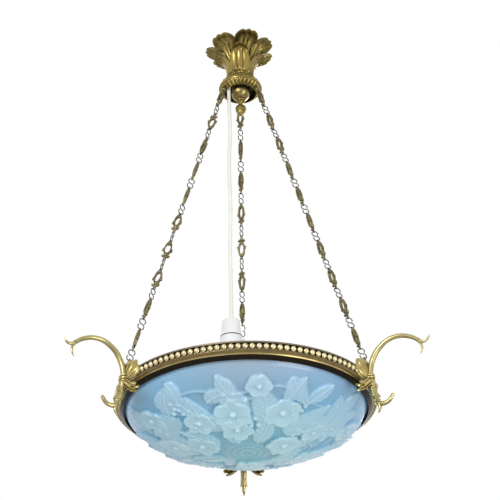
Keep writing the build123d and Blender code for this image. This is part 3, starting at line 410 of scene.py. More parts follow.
def opal_material():
    """Opalescent glass: slate under the rim's front and back, sky blue and teal, milky where relief is high, with
    painted highlights on the relief's standing edges.
    """
    low, high = ring_plane - 0.086, ring_plane - 0.012
    slate = (0.330, 0.410, 0.500, 1)
    material, tree, surface = new_material("opal_glass")
    place = node(tree, "TexCoord").outputs["Object"]
    parts = node(tree, "SeparateXYZ", {0: place}).outputs
    height = spread(tree, parts["Z"], low, high)
    clouds = noise(tree, place, 9.0, 3.0, 0.55)
    drift = calculate(tree, "MULTIPLY_ADD", clouds, 0.5, -0.25)
    level = calculate(tree, "ADD", height, drift, use_clamp=True)
    ground = ramp(tree, level, [
        (0.0, (0.250, 0.570, 0.660, 1)), (0.45, (0.205, 0.520, 0.740, 1)), (1.0, (0.270, 0.470, 0.680, 1)),
    ])
    milk = ramp(tree, level, [(0.0, (0.620, 0.900, 0.960, 1)), (1.0, (0.500, 0.690, 0.860, 1))])
    near_middle = spread(tree, calculate(tree, "ABSOLUTE", parts["X"]), 0.020, 0.150, 0.85, 0.0)
    slated = between(tree, calculate(tree, "MULTIPLY", near_middle, height), ground, slate)
    raised = node(tree, "Attribute", attribute_name="relief").outputs["Fac"]
    ripples = noise(tree, place, 160.0, 3.0)
    bump = node(tree, "Bump", {"Strength": 0.25, "Distance": 0.0006, "Height": ripples})
    feed(tree, surface, {
        "Base Color": between(tree, spread(tree, raised, 0.04, 0.90), slated, milk),
        "Roughness": spread(tree, clouds, 0.0, 1.0, 0.30, 0.42),
        "Normal": bump.outputs["Normal"],
        "Transmission Weight": 0.12, "Coat Weight": 0.35, "Coat Roughness": 0.12,
        "Subsurface Weight": 0.35, "Subsurface Radius": (0.6, 0.9, 1.0), "Subsurface Scale": 0.006,
    })
    return material


def rim_material():
    """Bronze of the ring, with light and shade painted in bands: painted shade black below, a painted highlight edge
    under the cove, olive above, painted shade behind the beads.
    """
    material = painted("rim_bronze", patina_and_shade, {
        "Hollow Patina And Shade": (0.014, 0.010, 0.004, 1), "Stain Scale": 50.0, "Wear": 0.25, "Roughness": 0.28,
        "Hollow Shade Reach": 0.004,
    }, 0.10, fine_bump, {"Metallic": 0.85})
    tree = material.node_tree
    place = node(tree, "TexCoord").outputs["Object"]
    parts = node(tree, "SeparateXYZ", {0: place}).outputs
    bands = [
        ((ring_plane + height - rim_low) / (rim_high - rim_low), colour) for height, colour in rim_light_and_shade_bands
    ]
    finish = next(made for made in tree.nodes if made.type == "GROUP")
    # The open-face colour follows the banded ramp, so the ring's painted shade and painted highlight go into it
    feed(tree, finish, {"Open Face Colour": ramp(tree, spread(tree, parts["Z"], rim_low, rim_high), bands)})
    return material


fine_bump = 0.0002
# Bronzes: colours of open faces and hollows (patina with painted shade), stain scale, wear, roughness, shade reach,
# bump, metallic
bronzes = {
    "gilt_bronze": ((0.350, 0.260, 0.072, 1), (0.020, 0.018, 0.006, 1), 28, 0.48, 0.24, 0.016, 0.10, 0.90),
    "bright_gilt": ((0.540, 0.440, 0.170, 1), (0.040, 0.029, 0.008, 1), 60, 0.28, 0.24, 0.006, 0.10, 0.90),
    "horn_gilt": ((0.470, 0.400, 0.180, 1), (0.050, 0.040, 0.012, 1), 30, 0.30, 0.22, 0.0012, 0.03, 0.92),
    "bead_gilt": ((0.780, 0.660, 0.380, 1), (0.030, 0.022, 0.008, 1), 90, 0.20, 0.22, 0.006, 0.10, 0.85),
    "dark_bronze": ((0.200, 0.165, 0.080, 1), (0.020, 0.016, 0.008, 1), 80, 0.40, 0.32, 0.003, 0.12, 0.90),
    "ball_bronze": ((0.300, 0.235, 0.085, 1), (0.120, 0.090, 0.030, 1), 40, 0.50, 0.24, 0.0005, 0.06, 0.90),
    "hook_wire": ((0.115, 0.105, 0.085, 1), (0.018, 0.016, 0.012, 1), 120, 0.40, 0.34, 0.001, 0.10, 0.85),
}
# Plain stuffs: light and dark colour, patch scale, roughness, bump and its reach, other sockets
stuffs = {
    "hardware_steel": (
        (0.50, 0.50, 0.49, 1), (0.33, 0.33, 0.32, 1), 60, 0.30, 0.10, fine_bump, {"Metallic": 1.0}),
    "plate_steel": (
        (0.58, 0.58, 0.57, 1), (0.44, 0.44, 0.43, 1), 30, 0.38, 0.10, fine_bump, {"Metallic": 1.0}),
    "contact_brass": (
        (0.80, 0.62, 0.28, 1), (0.62, 0.45, 0.18, 1), 60, 0.22, 0.05, fine_bump, {"Metallic": 1.0}),
    "white_plastic": (
        (0.84, 0.84, 0.83, 1), (0.78, 0.78, 0.76, 1), 25, 0.26, 0.05, fine_bump, {"Coat Weight": 0.2}),
    "flex_sheath": ((0.83, 0.82, 0.76, 1), (0.76, 0.75, 0.68, 1), 40, 0.38, 0.08, fine_bump, {}),
    "black_rubber": ((0.035, 0.035, 0.035, 1), (0.015, 0.015, 0.015, 1), 60, 0.55, 0.20, fine_bump, {}),
    "felt": ((0.10, 0.13, 0.10, 1), (0.05, 0.07, 0.05, 1), 400, 0.80, 0.60, 0.0006, {"Sheen Weight": 0.3}),
    "bulb_glass": (
        (0.92, 0.92, 0.90, 1), (0.86, 0.86, 0.84, 1), 60, 0.28, 0.05, fine_bump,
        {"Transmission Weight": 0.45}),
}

patina_and_shade, mottle = patina_and_shade_group(), mottle_group()
finishes = {"rim_bronze": rim_material(), "opal_glass": opal_material()}
for finish_name, (gilt, hollow_patina_and_shade, stain_scale, wear, rough, reach, bump, metallic) in bronzes.items():
    finishes[finish_name] = painted(finish_name, patina_and_shade, {
        "Open Face Colour": gilt, "Hollow Patina And Shade": hollow_patina_and_shade, "Stain Scale": stain_scale, "Wear": wear, "Roughness": rough,
        "Hollow Shade Reach": reach,
    }, bump, fine_bump, {"Metallic": metallic})
for finish_name, (light, dark, patch_scale, rough, bump, reach, others) in stuffs.items():
    finishes[finish_name] = painted(finish_name, mottle, {
        "Light": light, "Dark": dark, "Patch Scale": patch_scale, "Roughness": rough,
    }, bump, reach, others)


# Canopy, collar and hub

def canopy_cup():
    """Flower cup: a narrow fluted throat that opens into seven broad ruffled petals with rolled edges."""
    petals = 7
    throat, mouth = 0.0188, 0.0522

    def place(u, v):
        angle = u * 2 * pi
        drift = angle + radians(76) + 0.05 * np.sin(2 * angle + 0.7)
        petal = np.abs(np.cos(petals / 2 * drift)) ** 0.45
        swirl = drift + 0.10 * np.sin(petals * drift) * v
        flute = np.abs(np.cos(petals * 1.5 * swirl)) ** 0.8 - 0.5
        opened = soft_step(0.15, 0.85, v)
        radius = throat + 0.0040 * soft_step(0.0, 0.14, v) + 0.0010 * v + (mouth - throat - 0.002) * v**2.4
        curl = soft_step(0.74, 1.0, v)
        flute = flute * (1 - 0.30 * curl)
        radius = radius + opened * 0.0105 * (petal - 0.68) + (0.0012 + 0.0036 * opened) * flute
        radius = radius + curl * (0.0040 + 0.0050 * petal)
        tall = 0.0780 + 0.0110 * (petal - 0.65) + 0.0020 * np.sin(2 * drift + 0.9)
        height = canopy_base + tall * v**0.80 - curl**2 * 0.0095 * (0.5 + 0.5 * petal)
        height = height + curl * 0.0018 * flute
        return round_points(radius, angle, height)

    cup = sheet_of(336, 64, place, closed=True)
    return apply_modifier(cup, "SOLIDIFY", thickness=0.0018, offset=-1)


def canopy_leaf():
    """Long tulip leaf on the cup's front: three round lobes side by side, rolled over at the top."""

    def place(u, v):
        across = (u - 0.5) * 2
        half = 0.0200 * np.sin(pi * (0.13 + 0.70 * v)) ** 0.7
        lobes = 0.0024 * np.abs(np.cos(across * 1.5 * pi)) ** 0.6
        roll = soft_step(0.78, 1.0, v)
        out = 0.0205 + 0.0038 * soft_step(0.0, 0.14, v) + 0.0015 * v + 0.0195 * v**3.0
        out = out + lobes * soft_step(0.0, 0.12, v) - 0.0085 * across**2 * (1 - 0.4 * v) + roll * 0.0060
        up = 0.0035 + 0.0560 * v - roll**2 * 0.0062 - 0.0040 * across**2 * v
        return np.stack([across * half, -out, canopy_base + up], axis=1)

    leaf = sheet_of(48, 44, place)
    return apply_modifier(leaf, "SOLIDIFY", thickness=0.0016, offset=-1)


def make_canopy():
    """The cup with four tulip leaves laid on it, and the fillet it stands on."""
    cup = canopy_cup()
    leaf = canopy_leaf()
    leaves = [copy_of(leaf, Matrix.Rotation(quarter * pi / 2, 4, "Z")) for quarter in range(4)]
    discard(leaf)
    foot = lathe(
        [(0.0095, canopy_base), (0.0195, canopy_base), (0.0205, canopy_base + 0.0012),
         (0.0195, canopy_base + 0.0026), (0.0185, canopy_base + 0.0034), (0.0095, canopy_base + 0.0030),
         (0.0095, canopy_base)],
        steps=96,
    )
    whole = join("canopy_cup", [cup, foot] + leaves)
    finish_piece(whole, "canopy_flower", "canopy_cup", "gilt_bronze", ["canopy"], 50)


def make_collar():
    """Collar: a turned fillet between the cup and the hub."""
    fillet = lathe(
        [(0.0055, hub_top), (0.0178, hub_top), (0.0190, hub_top + 0.0010), (0.0182, hub_top + 0.0018),
         (0.0172, hub_top + 0.0022), (0.0182, hub_top + 0.0030), (0.0176, hub_top + 0.0038),
         (0.0055, hub_top + 0.0040), (0.0055, hub_top)],
    )
    finish_piece(fillet, "collar_turned", "hub", "bright_gilt", ["canopy_collar"], 35)


def dome_radius(share):
    """Radius and height of the hub's dome, from its crown at 0 to its edge at 1."""
    crown, edge = (0.0200, hub_top), (0.0415, hub_edge)
    bow = np.sin(np.pi * share)
    return mix(crown[0], edge[0], share) + 0.0037 * bow, mix(crown[1], edge[1], share) + 0.0022 * bow


def hub_dome():
    """Dome with a ring of overlapping pointed leaves in low relief."""
    count = 12

    def place(u, v):
        angle = u * 2 * pi
        radius, height = dome_radius(v)
        relief = np.zeros_like(v)
        for row, (start, end, shift) in enumerate(((0.0, 0.72, 0.5), (0.28, 1.0, 0.0))):
            t = np.clip((v - start) / (end - start), 0, 1)
            cell = (angle * count / (2 * pi) + shift) % 1.0 - 0.5
            width = 0.49 * (1 - t**2.2) ** 0.7
            inside = 1 - np.abs(cell) / np.maximum(width, 1e-3)
            body = soft_step(0.0, 0.25, inside) * (t < 1) * (v >= start)
            rib = np.exp(-((cell / 0.05) ** 2)) * body
            veins = np.abs(np.sin((t * 5 + np.abs(cell) * 6) * pi)) * body
            relief = np.maximum(relief, body * (0.0009 + 0.0005 * t) + rib * 0.0004 + veins * 0.0002)
        relief = relief * soft_step(0.0, 0.06, v) * soft_step(1.0, 0.96, v)
        radius = radius + relief * 0.65 - 0.0004
        height = height + relief * 0.75
        return round_points(radius, angle, height)

    dome = sheet_of(360, 40, place, closed=True)
    crown = lathe([(0.0055, hub_top - 0.0024), (0.0055, hub_top), (0.0200, hub_top), (0.0198, hub_top - 0.0024)])
    inner = sheet_of(
        64, 10,
        lambda u, v: np.stack([
            (dome_radius(v)[0] - 0.0022) * np.cos(u * 2 * pi),
            (dome_radius(v)[0] - 0.0022) * np.sin(u * 2 * pi),
            dome_radius(v)[1] - 0.0014,
        ], axis=1),
        closed=True,
    )
    take(inner)
    bpy.ops.object.mode_set(mode="EDIT")
    bpy.ops.mesh.select_all(action="SELECT")
    bpy.ops.mesh.flip_normals()
    bpy.ops.object.mode_set(mode="OBJECT")
    whole = join("hub_dome", [dome, crown, inner])
    finish_piece(whole, "hub_dome", "hub", "gilt_bronze", ["hub_cap"], 45)


def hub_gadroons():
    """Skirt of the hub: a rim fillet, tapering lobes round the open mouth, and the plate inside."""
    count = 28
    slant = [
        (0.0415, hub_edge), (0.0425, hub_edge - 0.0010), (0.0420, hub_edge - 0.0026), (0.0405, hub_rim_bottom),
    ]

    def place(u, v):
        angle = u * 2 * pi
        swell = np.abs(np.cos(angle * count / 2)) ** 0.55
        run = np.sin(pi * np.clip(v, 0, 1)) ** 0.55
        radius = mix(0.0405, 0.0312, v)
        height = mix(hub_rim_bottom, hub_bottom + 0.0004, v)
        raised = (0.0034 * swell - 0.0016) * run
        radius = radius + raised * 0.62
        height = height - raised * 0.78
        return round_points(radius, angle, height)

    lobes = sheet_of(360, 20, place, closed=True)
    rim = lathe(slant, steps=180)
    lip = lathe(
        [(0.0312, hub_bottom + 0.0004), (0.0318, hub_bottom - 0.0006), (0.0308, hub_bottom - 0.0010),
         (0.0300, hub_bottom), (0.0300, hub_edge - 0.0002), (0.0056, hub_edge - 0.0002), (0.0056, hub_edge + 0.003),
         (0.0360, hub_edge + 0.003), (0.0360, hub_edge), (0.0415, hub_edge)],
        steps=180,
    )
    whole = tidy_mesh(join("hub_gadroons", [lobes, rim, lip]), 0.00003)
    finish_piece(whole, "hub_gadroons", "hub", "gilt_bronze", ["hub_skirt"], 50)


def bud(low, high):
    """Bud of overlapping scales that hangs below the hub, between two heights."""
    rows, around = 5, 9

    def place(u, v):
        angle = u * 2 * pi
        outline = 0.0098 * np.sin(pi * v**0.62) ** 0.72
        row = v * rows
        shift = np.floor(row) * 0.5
        within = row - np.floor(row)
        scale_edge = np.abs(np.sin(pi * (angle * around / (2 * pi) + shift)))
        raised = 0.0011 * scale_edge**0.5 * within * soft_step(0.0, 0.08, v) * soft_step(1.0, 0.9, v)
        radius = outline + raised
        return np.stack([radius * np.cos(angle), radius * np.sin(angle), mix(high, low, v)], axis=1)

    return sheet_of(180, 80, place, closed=True)


def make_finial():
    """Finial below the ball: a round collar, a bead, a thin reel and the hanging bud."""
    low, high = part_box("finial_nut")
    top = high.z
    turned_part = lathe([
        (0.0, top), (0.0074, top), (0.0086, top - 0.0012), (0.0090, top - 0.0025), (0.0086, top - 0.0038),
        (0.0074, top - 0.0050), (0.0063, top - 0.0052), (0.0070, top - 0.0060), (0.0074, top - 0.0068),
        (0.0070, top - 0.0076), (0.0060, top - 0.0083), (0.0044, top - 0.0096), (0.0038, top - 0.0116),
        (0.0042, top - 0.0136), (0.0056, top - 0.0149), (0.0060, top - 0.0156), (0.0, top - 0.0160),
    ], steps=64)
    whole = join("finial_bud", [turned_part, bud(low.z, top - 0.0146)])
    finish_piece(whole, "finial_bud", "hub", "gilt_bronze", ["finial_nut"], 50)


# Chains

def cartouche():
    """Openwork cast link, flat in X and Y with its lower end at +Y: frame, ears, fleuron and two eyes."""
    parts = []
    for level in (-0.00165, 0.00165):
        parts.append(ring(0.0055, 0.00140, (0, -0.0040, level), scale=(1, 2.36, 1), around=40))
    parts.append(ring(0.0054, 0.00110, (0, -0.0040, 0), scale=(1, 2.30, 2.0), around=40))
    for side in (-1, 1):
        parts.append(ball(0.0023, (side * 0.0074, 0.0006, 0), (1, 1, 1.15), 8))
        parts.append(ball(0.0014, (side * 0.0078, -0.0030, 0), (0.9, 1.3, 1.2), 8))
        parts.append(ball(0.0030, (side * 0.0042, 0.0137, 0), (1.0, 0.85, 0.90), 8))
        parts.append(ball(0.0015, (side * 0.0064, 0.0120, 0), (1, 1, 1.2), 8))
        parts.append(ball(0.0017, (side * 0.0024, 0.0098, 0), (1, 1.3, 1.2), 8))
    parts.append(ball(0.0036, (0, 0.0152, 0), (0.95, 1.1, 0.80), 10))
    parts.append(ball(0.0024, (0, -0.0172, 0), (0.9, 1.3, 1.05), 8))
    parts.append(bar([(0, 0.0160, 0), (0, 0.0180, 0), (0, 0.0196, 0)], [0.0020, 0.00135, 0.0011]))
    for end in (-0.021275, 0.021275):
        parts.append(ring(0.00253, 0.00072, (0, end, 0), scale=(1, 1, 1.25), around=24, across=10))
    link = join("cartouche", parts)
    return blend_casting(link, 0.00036, 4600)


def link_matrix(side, along, turn):
    """Place of a link on its chain: X across it, Y down the chain."""
    azimuth = radians(arm_azimuths[side])
    out = Vector((cos(azimuth), sin(azimuth), 0))
    down = out * chain_sine - Vector((0, 0, chain_cosine))
    start = out * chain_start_radius + Vector((0, 0, chain_start_level))
    front = down.cross(Vector((0, 1, 0))).normalized()
    across = front * cos(radians(turn)) + down.cross(front) * sin(radians(turn))
    normal = across.cross(down)
    columns = Matrix((across, down, normal)).transposed().to_4x4()
    return Matrix.Translation(start + down * along) @ columns


def make_chains():
    """Ten cast links on each chain, some fleuron up; the hooks between them are the model's own."""
    link = cartouche()
    upside_down = Matrix.Rotation(pi, 4, "Z")
    for side, turns in link_turns.items():
        copies = []
        for place, turn in enumerate(turns):
            along = (place + 1) * link_pitch - link_middle_back
            spot = link_matrix(side, along, turn)
            if place in flipped_links[side]:
                spot = spot @ upside_down
            copies.append(copy_of(link, spot))
        chain = join(f"chain_links_{side}", copies)
        finish_piece(
            chain, f"chain_links_{side}", f"chain_{side}", "dark_bronze", [f"cast_links_{side}"], 60,
        )
    discard(link)


# Mounts on the ring

def mount_matrix(side):
    """Turns a mount made along +X to its arm's azimuth and lifts it to the ring plane."""
    turn = Matrix.Rotation(radians(arm_azimuths[side]), 4, "Z")
    return Matrix.Translation((0, 0, ring_plane)) @ turn


def out_up(*points):
    """Points in the mount's own upright plane, from (out from the ring, up) in millimetres."""
    return [(ring_radius + out / 1000, 0, up / 1000) for out, up in points]


def horn():
    """Horn, stem and their forked ends, with the leafy sheath of the stem and the shank on the ring."""
    tubes = [
        bar(out_up((17.5, -47), (9, -26), (8, -4), (15, 30), (37, 54.5), (59, 60.5), (82, 54.5), (98, 43.5)),
            [0.0040, 0.0046, 0.0052, 0.0050, 0.0044, 0.0041, 0.0038, 0.0034], 8, 20),
        bar(out_up((90, 49.5), (100, 41.5), (107, 39.4), (113, 42), (117.0, 48.5)),
            [0.0032, 0.0029, 0.0025, 0.0019, 0.0005], 8, 12),
        bar(out_up((90, 49.5), (98, 41), (102, 33), (101.5, 25), (98.0, 18)),
            [0.0030, 0.0026, 0.0022, 0.0017, 0.0005], 8, 12),
        bar(out_up((16, -44), (22, -51), (31, -52.5), (39, -49), (45.0, -41.0)),
            [0.0040, 0.0040, 0.0037, 0.0034, 0.0028], 8, 12),
        ball(0.0028, (ring_radius + 0.0450, 0, -0.0410), (1, 1, 1), 10),
        bar(out_up((17, -45), (20.0, -52), (21.5, -59), (18.0, -68)), [0.0038, 0.0035, 0.0028, 0.0008], 8, 12),
    ]
    leaves = [bar(out_up((9.5, -8), (9.0, -20), (11.5, -32), (16.5, -44)), [0.0066, 0.0064, 0.0058, 0.0044], 8, 10)]
    for step in range(8):
        share = step / 7
        spot = Vector((ring_radius + mix(0.0150, 0.0200, share), 0, mix(-0.010, -0.041, share)))
        leaves.append(ball(0.0022, spot, (0.9, 1.2, 0.60), 8))
        for side in (-1, 1):
            leaves.append(ball(0.0018, spot + Vector((-0.0040, side * 0.0052, -0.0016)), (0.9, 0.9, 0.60), 8))
    for turn in range(5):
        angle = radians(72 * turn)
        lip = Vector((0.0030 * cos(angle), 0.0036 * sin(angle), 0))
        leaves.append(bar(
            [Vector((ring_radius + 0.0155, 0, -0.0400)) + lip, Vector((ring_radius + 0.0180, 0, -0.0460)) + 1.4 * lip,
             Vector((ring_radius + 0.0195, 0, -0.0500)) + 1.9 * lip],
            [0.0022, 0.0018, 0.0006],
        ))
    sheath_leaves = blend_casting(join("sheath_leaves", leaves), 0.00055, 16000)
    shank = [
        ball(0.0050, (ring_radius + 0.0040, 0, 0.010), (0.9, 1.0, 2.6), 12),
        ball(0.0090, (ring_radius - 0.0028, 0, 0.0042), (0.30, 1.0, 0.42), 12),
    ]
    return join("horn", [sheath_leaves] + tubes + shank)


def ribbon(points, width, thickness, wave=0.0, folds=3.0, fork=0.0):
    """Folded strip of ribbon along a curve through points; fork cuts its far end into two tails."""
    line = np.array(points, dtype=float)
    knots = np.linspace(0, 1, len(line))

    def along(t):
        """Catmull-Rom line through the points."""
        spot = np.clip(t, 0, 1) * (len(line) - 1)
        first = np.clip(spot.astype(int), 0, len(line) - 2)
        share = (spot - first)[:, None]
        p0 = line[np.clip(first - 1, 0, len(line) - 1)]
        p1, p2 = line[first], line[first + 1]
        p3 = line[np.clip(first + 2, 0, len(line) - 1)]
        return 0.5 * (
            2 * p1 + (p2 - p0) * share + (2 * p0 - 5 * p1 + 4 * p2 - p3) * share**2
            + (3 * p1 - p0 - 3 * p2 + p3) * share**3
        )

    def place(u, v):
        centre = along(v)
        ahead = along(np.clip(v + 0.01, 0, 1)) - along(np.clip(v - 0.01, 0, 1))
        ahead /= np.linalg.norm(ahead, axis=1)[:, None]
        outward = np.tile(np.array([1.0, 0.0, 0.25]), (len(v), 1))
        side = np.cross(ahead, outward)
        side /= np.linalg.norm(side, axis=1)[:, None]
        lift = np.cross(side, ahead)
        across = (u - 0.5) * 2
        half = np.interp(v, knots, width) if np.ndim(width) else width
        fold = np.cos(across * folds * pi) * wave * soft_step(0.0, 0.12, v)
        reach = centre - ahead * (fork * soft_step(0.8, 1.0, v) * (1 - np.abs(across)))[:, None]
        return reach + side * (across * half)[:, None] + lift * fold[:, None]

    strip = sheet_of(20, 36, place)
    return apply_modifier(strip, "SOLIDIFY", thickness=thickness, offset=0)


def fluted_loop(heading, length, width, start):
    """One puffed loop of ribbon from the knot along a heading: a flattened bulb with deep lengthwise folds."""

    def place(u, v):
        angle = u * 2 * pi
        body = width * np.sin(pi * v**0.95) ** 0.50 * (0.62 + 0.38 * v)
        folds = 1 + 0.20 * np.abs(np.cos(angle * 2.5)) ** 0.7
        across, over = body * folds * np.cos(angle), 0.62 * body * folds * np.sin(angle)
        return np.stack([over, across, length * v], axis=1)

    loop = sheet_of(60, 26, place, closed=True)
    turn = Vector((0, 0, 1)).rotation_difference(Vector(heading)).to_matrix().to_4x4()
    loop.data.transform(Matrix.Translation(start) @ turn)
    return loop


def bow_fan():
    """Seven puffed loops that stand up from the knot and lie over the ring."""
    start = (ring_radius + 0.0060, 0, -0.0060)
    loops = [fluted_loop((-0.22, 0, 1), 0.0430, 0.0120, start)]
    for side in (-1, 1):
        loops.append(fluted_loop((-0.30, side * 0.42, 0.88), 0.0420, 0.0118, start))
        loops.append(fluted_loop((-0.34, side * 0.92, 0.52), 0.0390, 0.0115, start))
        loops.append(fluted_loop((-0.30, side * 0.16, 0.94), 0.0360, 0.0118, start))
    return join("bow_fan", loops)


def bow():
    """Wrapped knot, puffed loops and two waved tails with forked ends."""
    parts = [bow_fan()]
    centre = ring_radius + 0.0080
    wraps = ((0.0020, 0.0070, 16), (-0.0028, 0.0078, 12), (-0.0076, 0.0074, 16), (-0.0120, 0.0062, 12))
    for level, size, tilt in wraps:
        turn = (radians(tilt), 0, 0)
        parts.append(ring(size, 0.0028, (centre - 0.0016, 0, level), scale=(1, 1, 0.9), turn=turn, around=28))
    for side in (-1, 1):
        tail = [
            (centre + 0.0030, side * 0.004, -0.009), (centre + 0.0045, side * 0.012, -0.013),
            (centre - 0.0010, side * 0.019, -0.021), (centre - 0.0040, side * 0.026, -0.027),
            (centre - 0.0110, side * 0.034, -0.030),
        ]
        parts.append(ribbon(tail, [0.0030, 0.0050, 0.0054, 0.0054, 0.0064], 0.0022, 0.0016, 1.5, fork=0.008))
        curl = [
            (centre - 0.0020, side * 0.024, -0.025), (centre + 0.0015, side * 0.031, -0.0225),
            (centre - 0.0030, side * 0.037, -0.0255),
        ]
        parts.append(ribbon(curl, [0.0024, 0.0034, 0.0028], 0.0020, 0.0008, 1.5))
    return join("bow", parts)


def make_mounts():
    """Three horns and three bows, copied round the ring."""
    horn_shape = horn()
    bow_shape = bow()
    for side in arm_azimuths:
        arm = copy_of(horn_shape, mount_matrix(side))
        finish_piece(arm, f"horn_{side}", "dish_ring", "horn_gilt", [f"arm_{side}"], 60)
        tied = copy_of(bow_shape, mount_matrix(side))
        finish_piece(tied, f"ribbon_bow_{side}", "dish_ring", "bright_gilt", [f"bow_{side}"], 60)
    discard(horn_shape, bow_shape)


# Glass bowl and flex

bowl_neck = 0.2075
bowl_foot = ring_plane - 0.0031
bowl_depth = 0.0818
bowl_wall = 0.0060
bowl_profile = [(0.0, 0.0), (0.525, 0.222), (0.835, 0.525), (0.975, 0.80), (1.0, 1.0)]
# Rows of motifs, lowest layer first: kind, distance from the bottom, count, smallest and largest size
relief_rows = [
    ("leaf", 0.050, 7, 0.050, 0.072), ("leaf", 0.088, 11, 0.066, 0.104), ("leaf", 0.126, 14, 0.064, 0.096),
    ("leaf", 0.156, 15, 0.046, 0.066), ("berries", 0.104, 6, 0.015, 0.021), ("berries", 0.150, 9, 0.015, 0.022),
    ("hanging", 0.204, 10, 0.040, 0.064), ("blossom", 0.074, 4, 0.023, 0.031),
    ("blossom", 0.122, 8, 0.023, 0.036), ("blossom", 0.178, 5, 0.020, 0.030),
]
# Stems that run round the bowl: waves, distance from the bottom, swing and phase
garlands = [(4, 0.100, 0.014, 0.4), (5, 0.140, 0.016, 2.2), (7, 0.172, 0.010, 4.0)]


def bowl_line(count=400):
    """Outer profile of the bowl as radius, height and outward normal, evenly spaced from the bottom up."""
    points = [(bowl_neck * out, bowl_foot - bowl_depth * (1 - up)) for out, up in bowl_profile]
    heading = 0.0
    line = [points[0]]
    for start, end in zip(points, points[1:]):
        chord = atan2(end[1] - start[1], end[0] - start[0])
        length = sqrt((end[0] - start[0]) ** 2 + (end[1] - start[1]) ** 2)
        turn = 2 * (chord - heading)
        if end is points[-1] or abs(turn) < 1e-6:
            line += [(mix(start[0], end[0], k / 60), mix(start[1], end[1], k / 60)) for k in range(1, 61)]
            continue
        radius = length / (2 * sin(turn / 2))
        for k in range(1, 61):
            angle = heading + turn * k / 60
            out = start[0] + radius * (sin(angle) - sin(heading))
            up = start[1] - radius * (cos(angle) - cos(heading))
            line.append((out, up))
        heading += turn
    line = np.array(line)
    reach = np.concatenate([[0], np.cumsum(np.linalg.norm(np.diff(line, axis=0), axis=1))])
    even = np.linspace(0, reach[-1], count)
    radius, height = np.interp(even, reach, line[:, 0]), np.interp(even, reach, line[:, 1])
    slope = np.arctan2(np.gradient(height), np.gradient(radius))
    slope = np.convolve(np.pad(slope, 8, mode="edge"), np.ones(17) / 17, mode="valid")
    return even, radius, height, np.sin(slope), -np.cos(slope)


def leaf_relief(x, y, length, width, tall, bend=0.0):
    """Raised leaf from the origin along +Y, bent sideways: soft edge, grooved midrib and side veins."""
    x = x - bend * y**2 / length
    t = np.clip(y / length, 0, 1)
    half = width * np.sin(pi * t**0.85) ** 0.75 + 1e-6
    inside = 1 - np.abs(x) / half
    body = soft_step(0.0, 0.30, inside) * ((y > 0) & (y < length))
    crown = 0.52 + 0.44 * np.sqrt(np.clip(inside, 0, 1))
    edge = 0.12 * np.exp(-(((inside - 0.24) / 0.16) ** 2))
    rib = 0.16 * np.exp(-((x / 0.0013) ** 2)) - 0.16 * np.exp(-(((np.abs(x) - 0.0030) / 0.0014) ** 2))
    vein = 0.08 * np.cos((t * length / 0.011 - np.abs(x) / 0.014) * 2 * pi)
    return tall * body * (crown + edge + rib + vein * soft_step(0.05, 0.35, np.abs(x) / half))


def petal_relief(x, y, length, width, tall):
    """Raised cupped petal from the origin along +Y, broad and turned up at its end."""
    t = np.clip(y / length, 0, 1)
    half = width * np.sin(pi * np.clip(t, 0, 1) ** 1.5) ** 0.6 + 1e-6
    inside = 1 - np.abs(x) / half
    body = soft_step(0.0, 0.30, inside) * ((y > 0) & (y < length))
    cup = 0.50 + 0.42 * t + 0.10 * np.exp(-(((inside - 0.26) / 0.18) ** 2))
    rays = 0.05 * np.cos(x / width * 6 * pi) * t
    return tall * body * (cup + rays)


def turned(x, y, x0, y0, angle):
    """Local coordinates about a place, with +Y at an angle from the bowl's own +Y."""
    dx, dy = x - x0, y - y0
    c, s = cos(radians(angle)), sin(radians(angle))
    return dx * c + dy * s, -dx * s + dy * c


def blossom_relief(x, y, size, tall, petals):
    """Open flower: round petals about a beaded heart."""
    high = np.zeros_like(x)
    for petal in range(petals):
        lx, ly = turned(x, y, 0.0, 0.0, 360 / petals * petal)
        high = np.maximum(high, petal_relief(lx, ly, size, size * 0.52, tall * (0.92 + 0.08 * (petal % 2))))
    heart = np.hypot(x, y) / (size * 0.24)
    return np.maximum(high, tall * 1.12 * np.sqrt(np.clip(1 - heart**2, 0, 1)))


def berries_relief(x, y, size, tall, count):
    """Loose cluster of round berries in a spiral."""
    high = np.zeros_like(x)
    for berry in range(count):
        turn, out = 2.4 * berry, size * sqrt(berry / count)
        far = np.hypot(x - out * cos(turn), y - out * sin(turn)) / (size * 0.30)
        high = np.maximum(high, tall * np.sqrt(np.clip(1 - far**2, 0, 1)))
    return high


def motif_places():
    """Places of the motifs: kind, azimuth, distance from the bottom, size, turn and bend."""
    dice = np.random.default_rng(23)
    found = []
    for kind, along, count, small, large in relief_rows:
        start = dice.uniform(0, 2 * pi)
        for number in range(count):
            azimuth = start + (number + dice.uniform(-0.30, 0.30)) * 2 * pi / count
            lift = dice.uniform(-0.009, 0.009)
            size = dice.uniform(small, large)
            found.append((kind, azimuth, along + lift, size, dice.uniform(-58, 58), dice.uniform(-0.5, 0.5)))
    return found


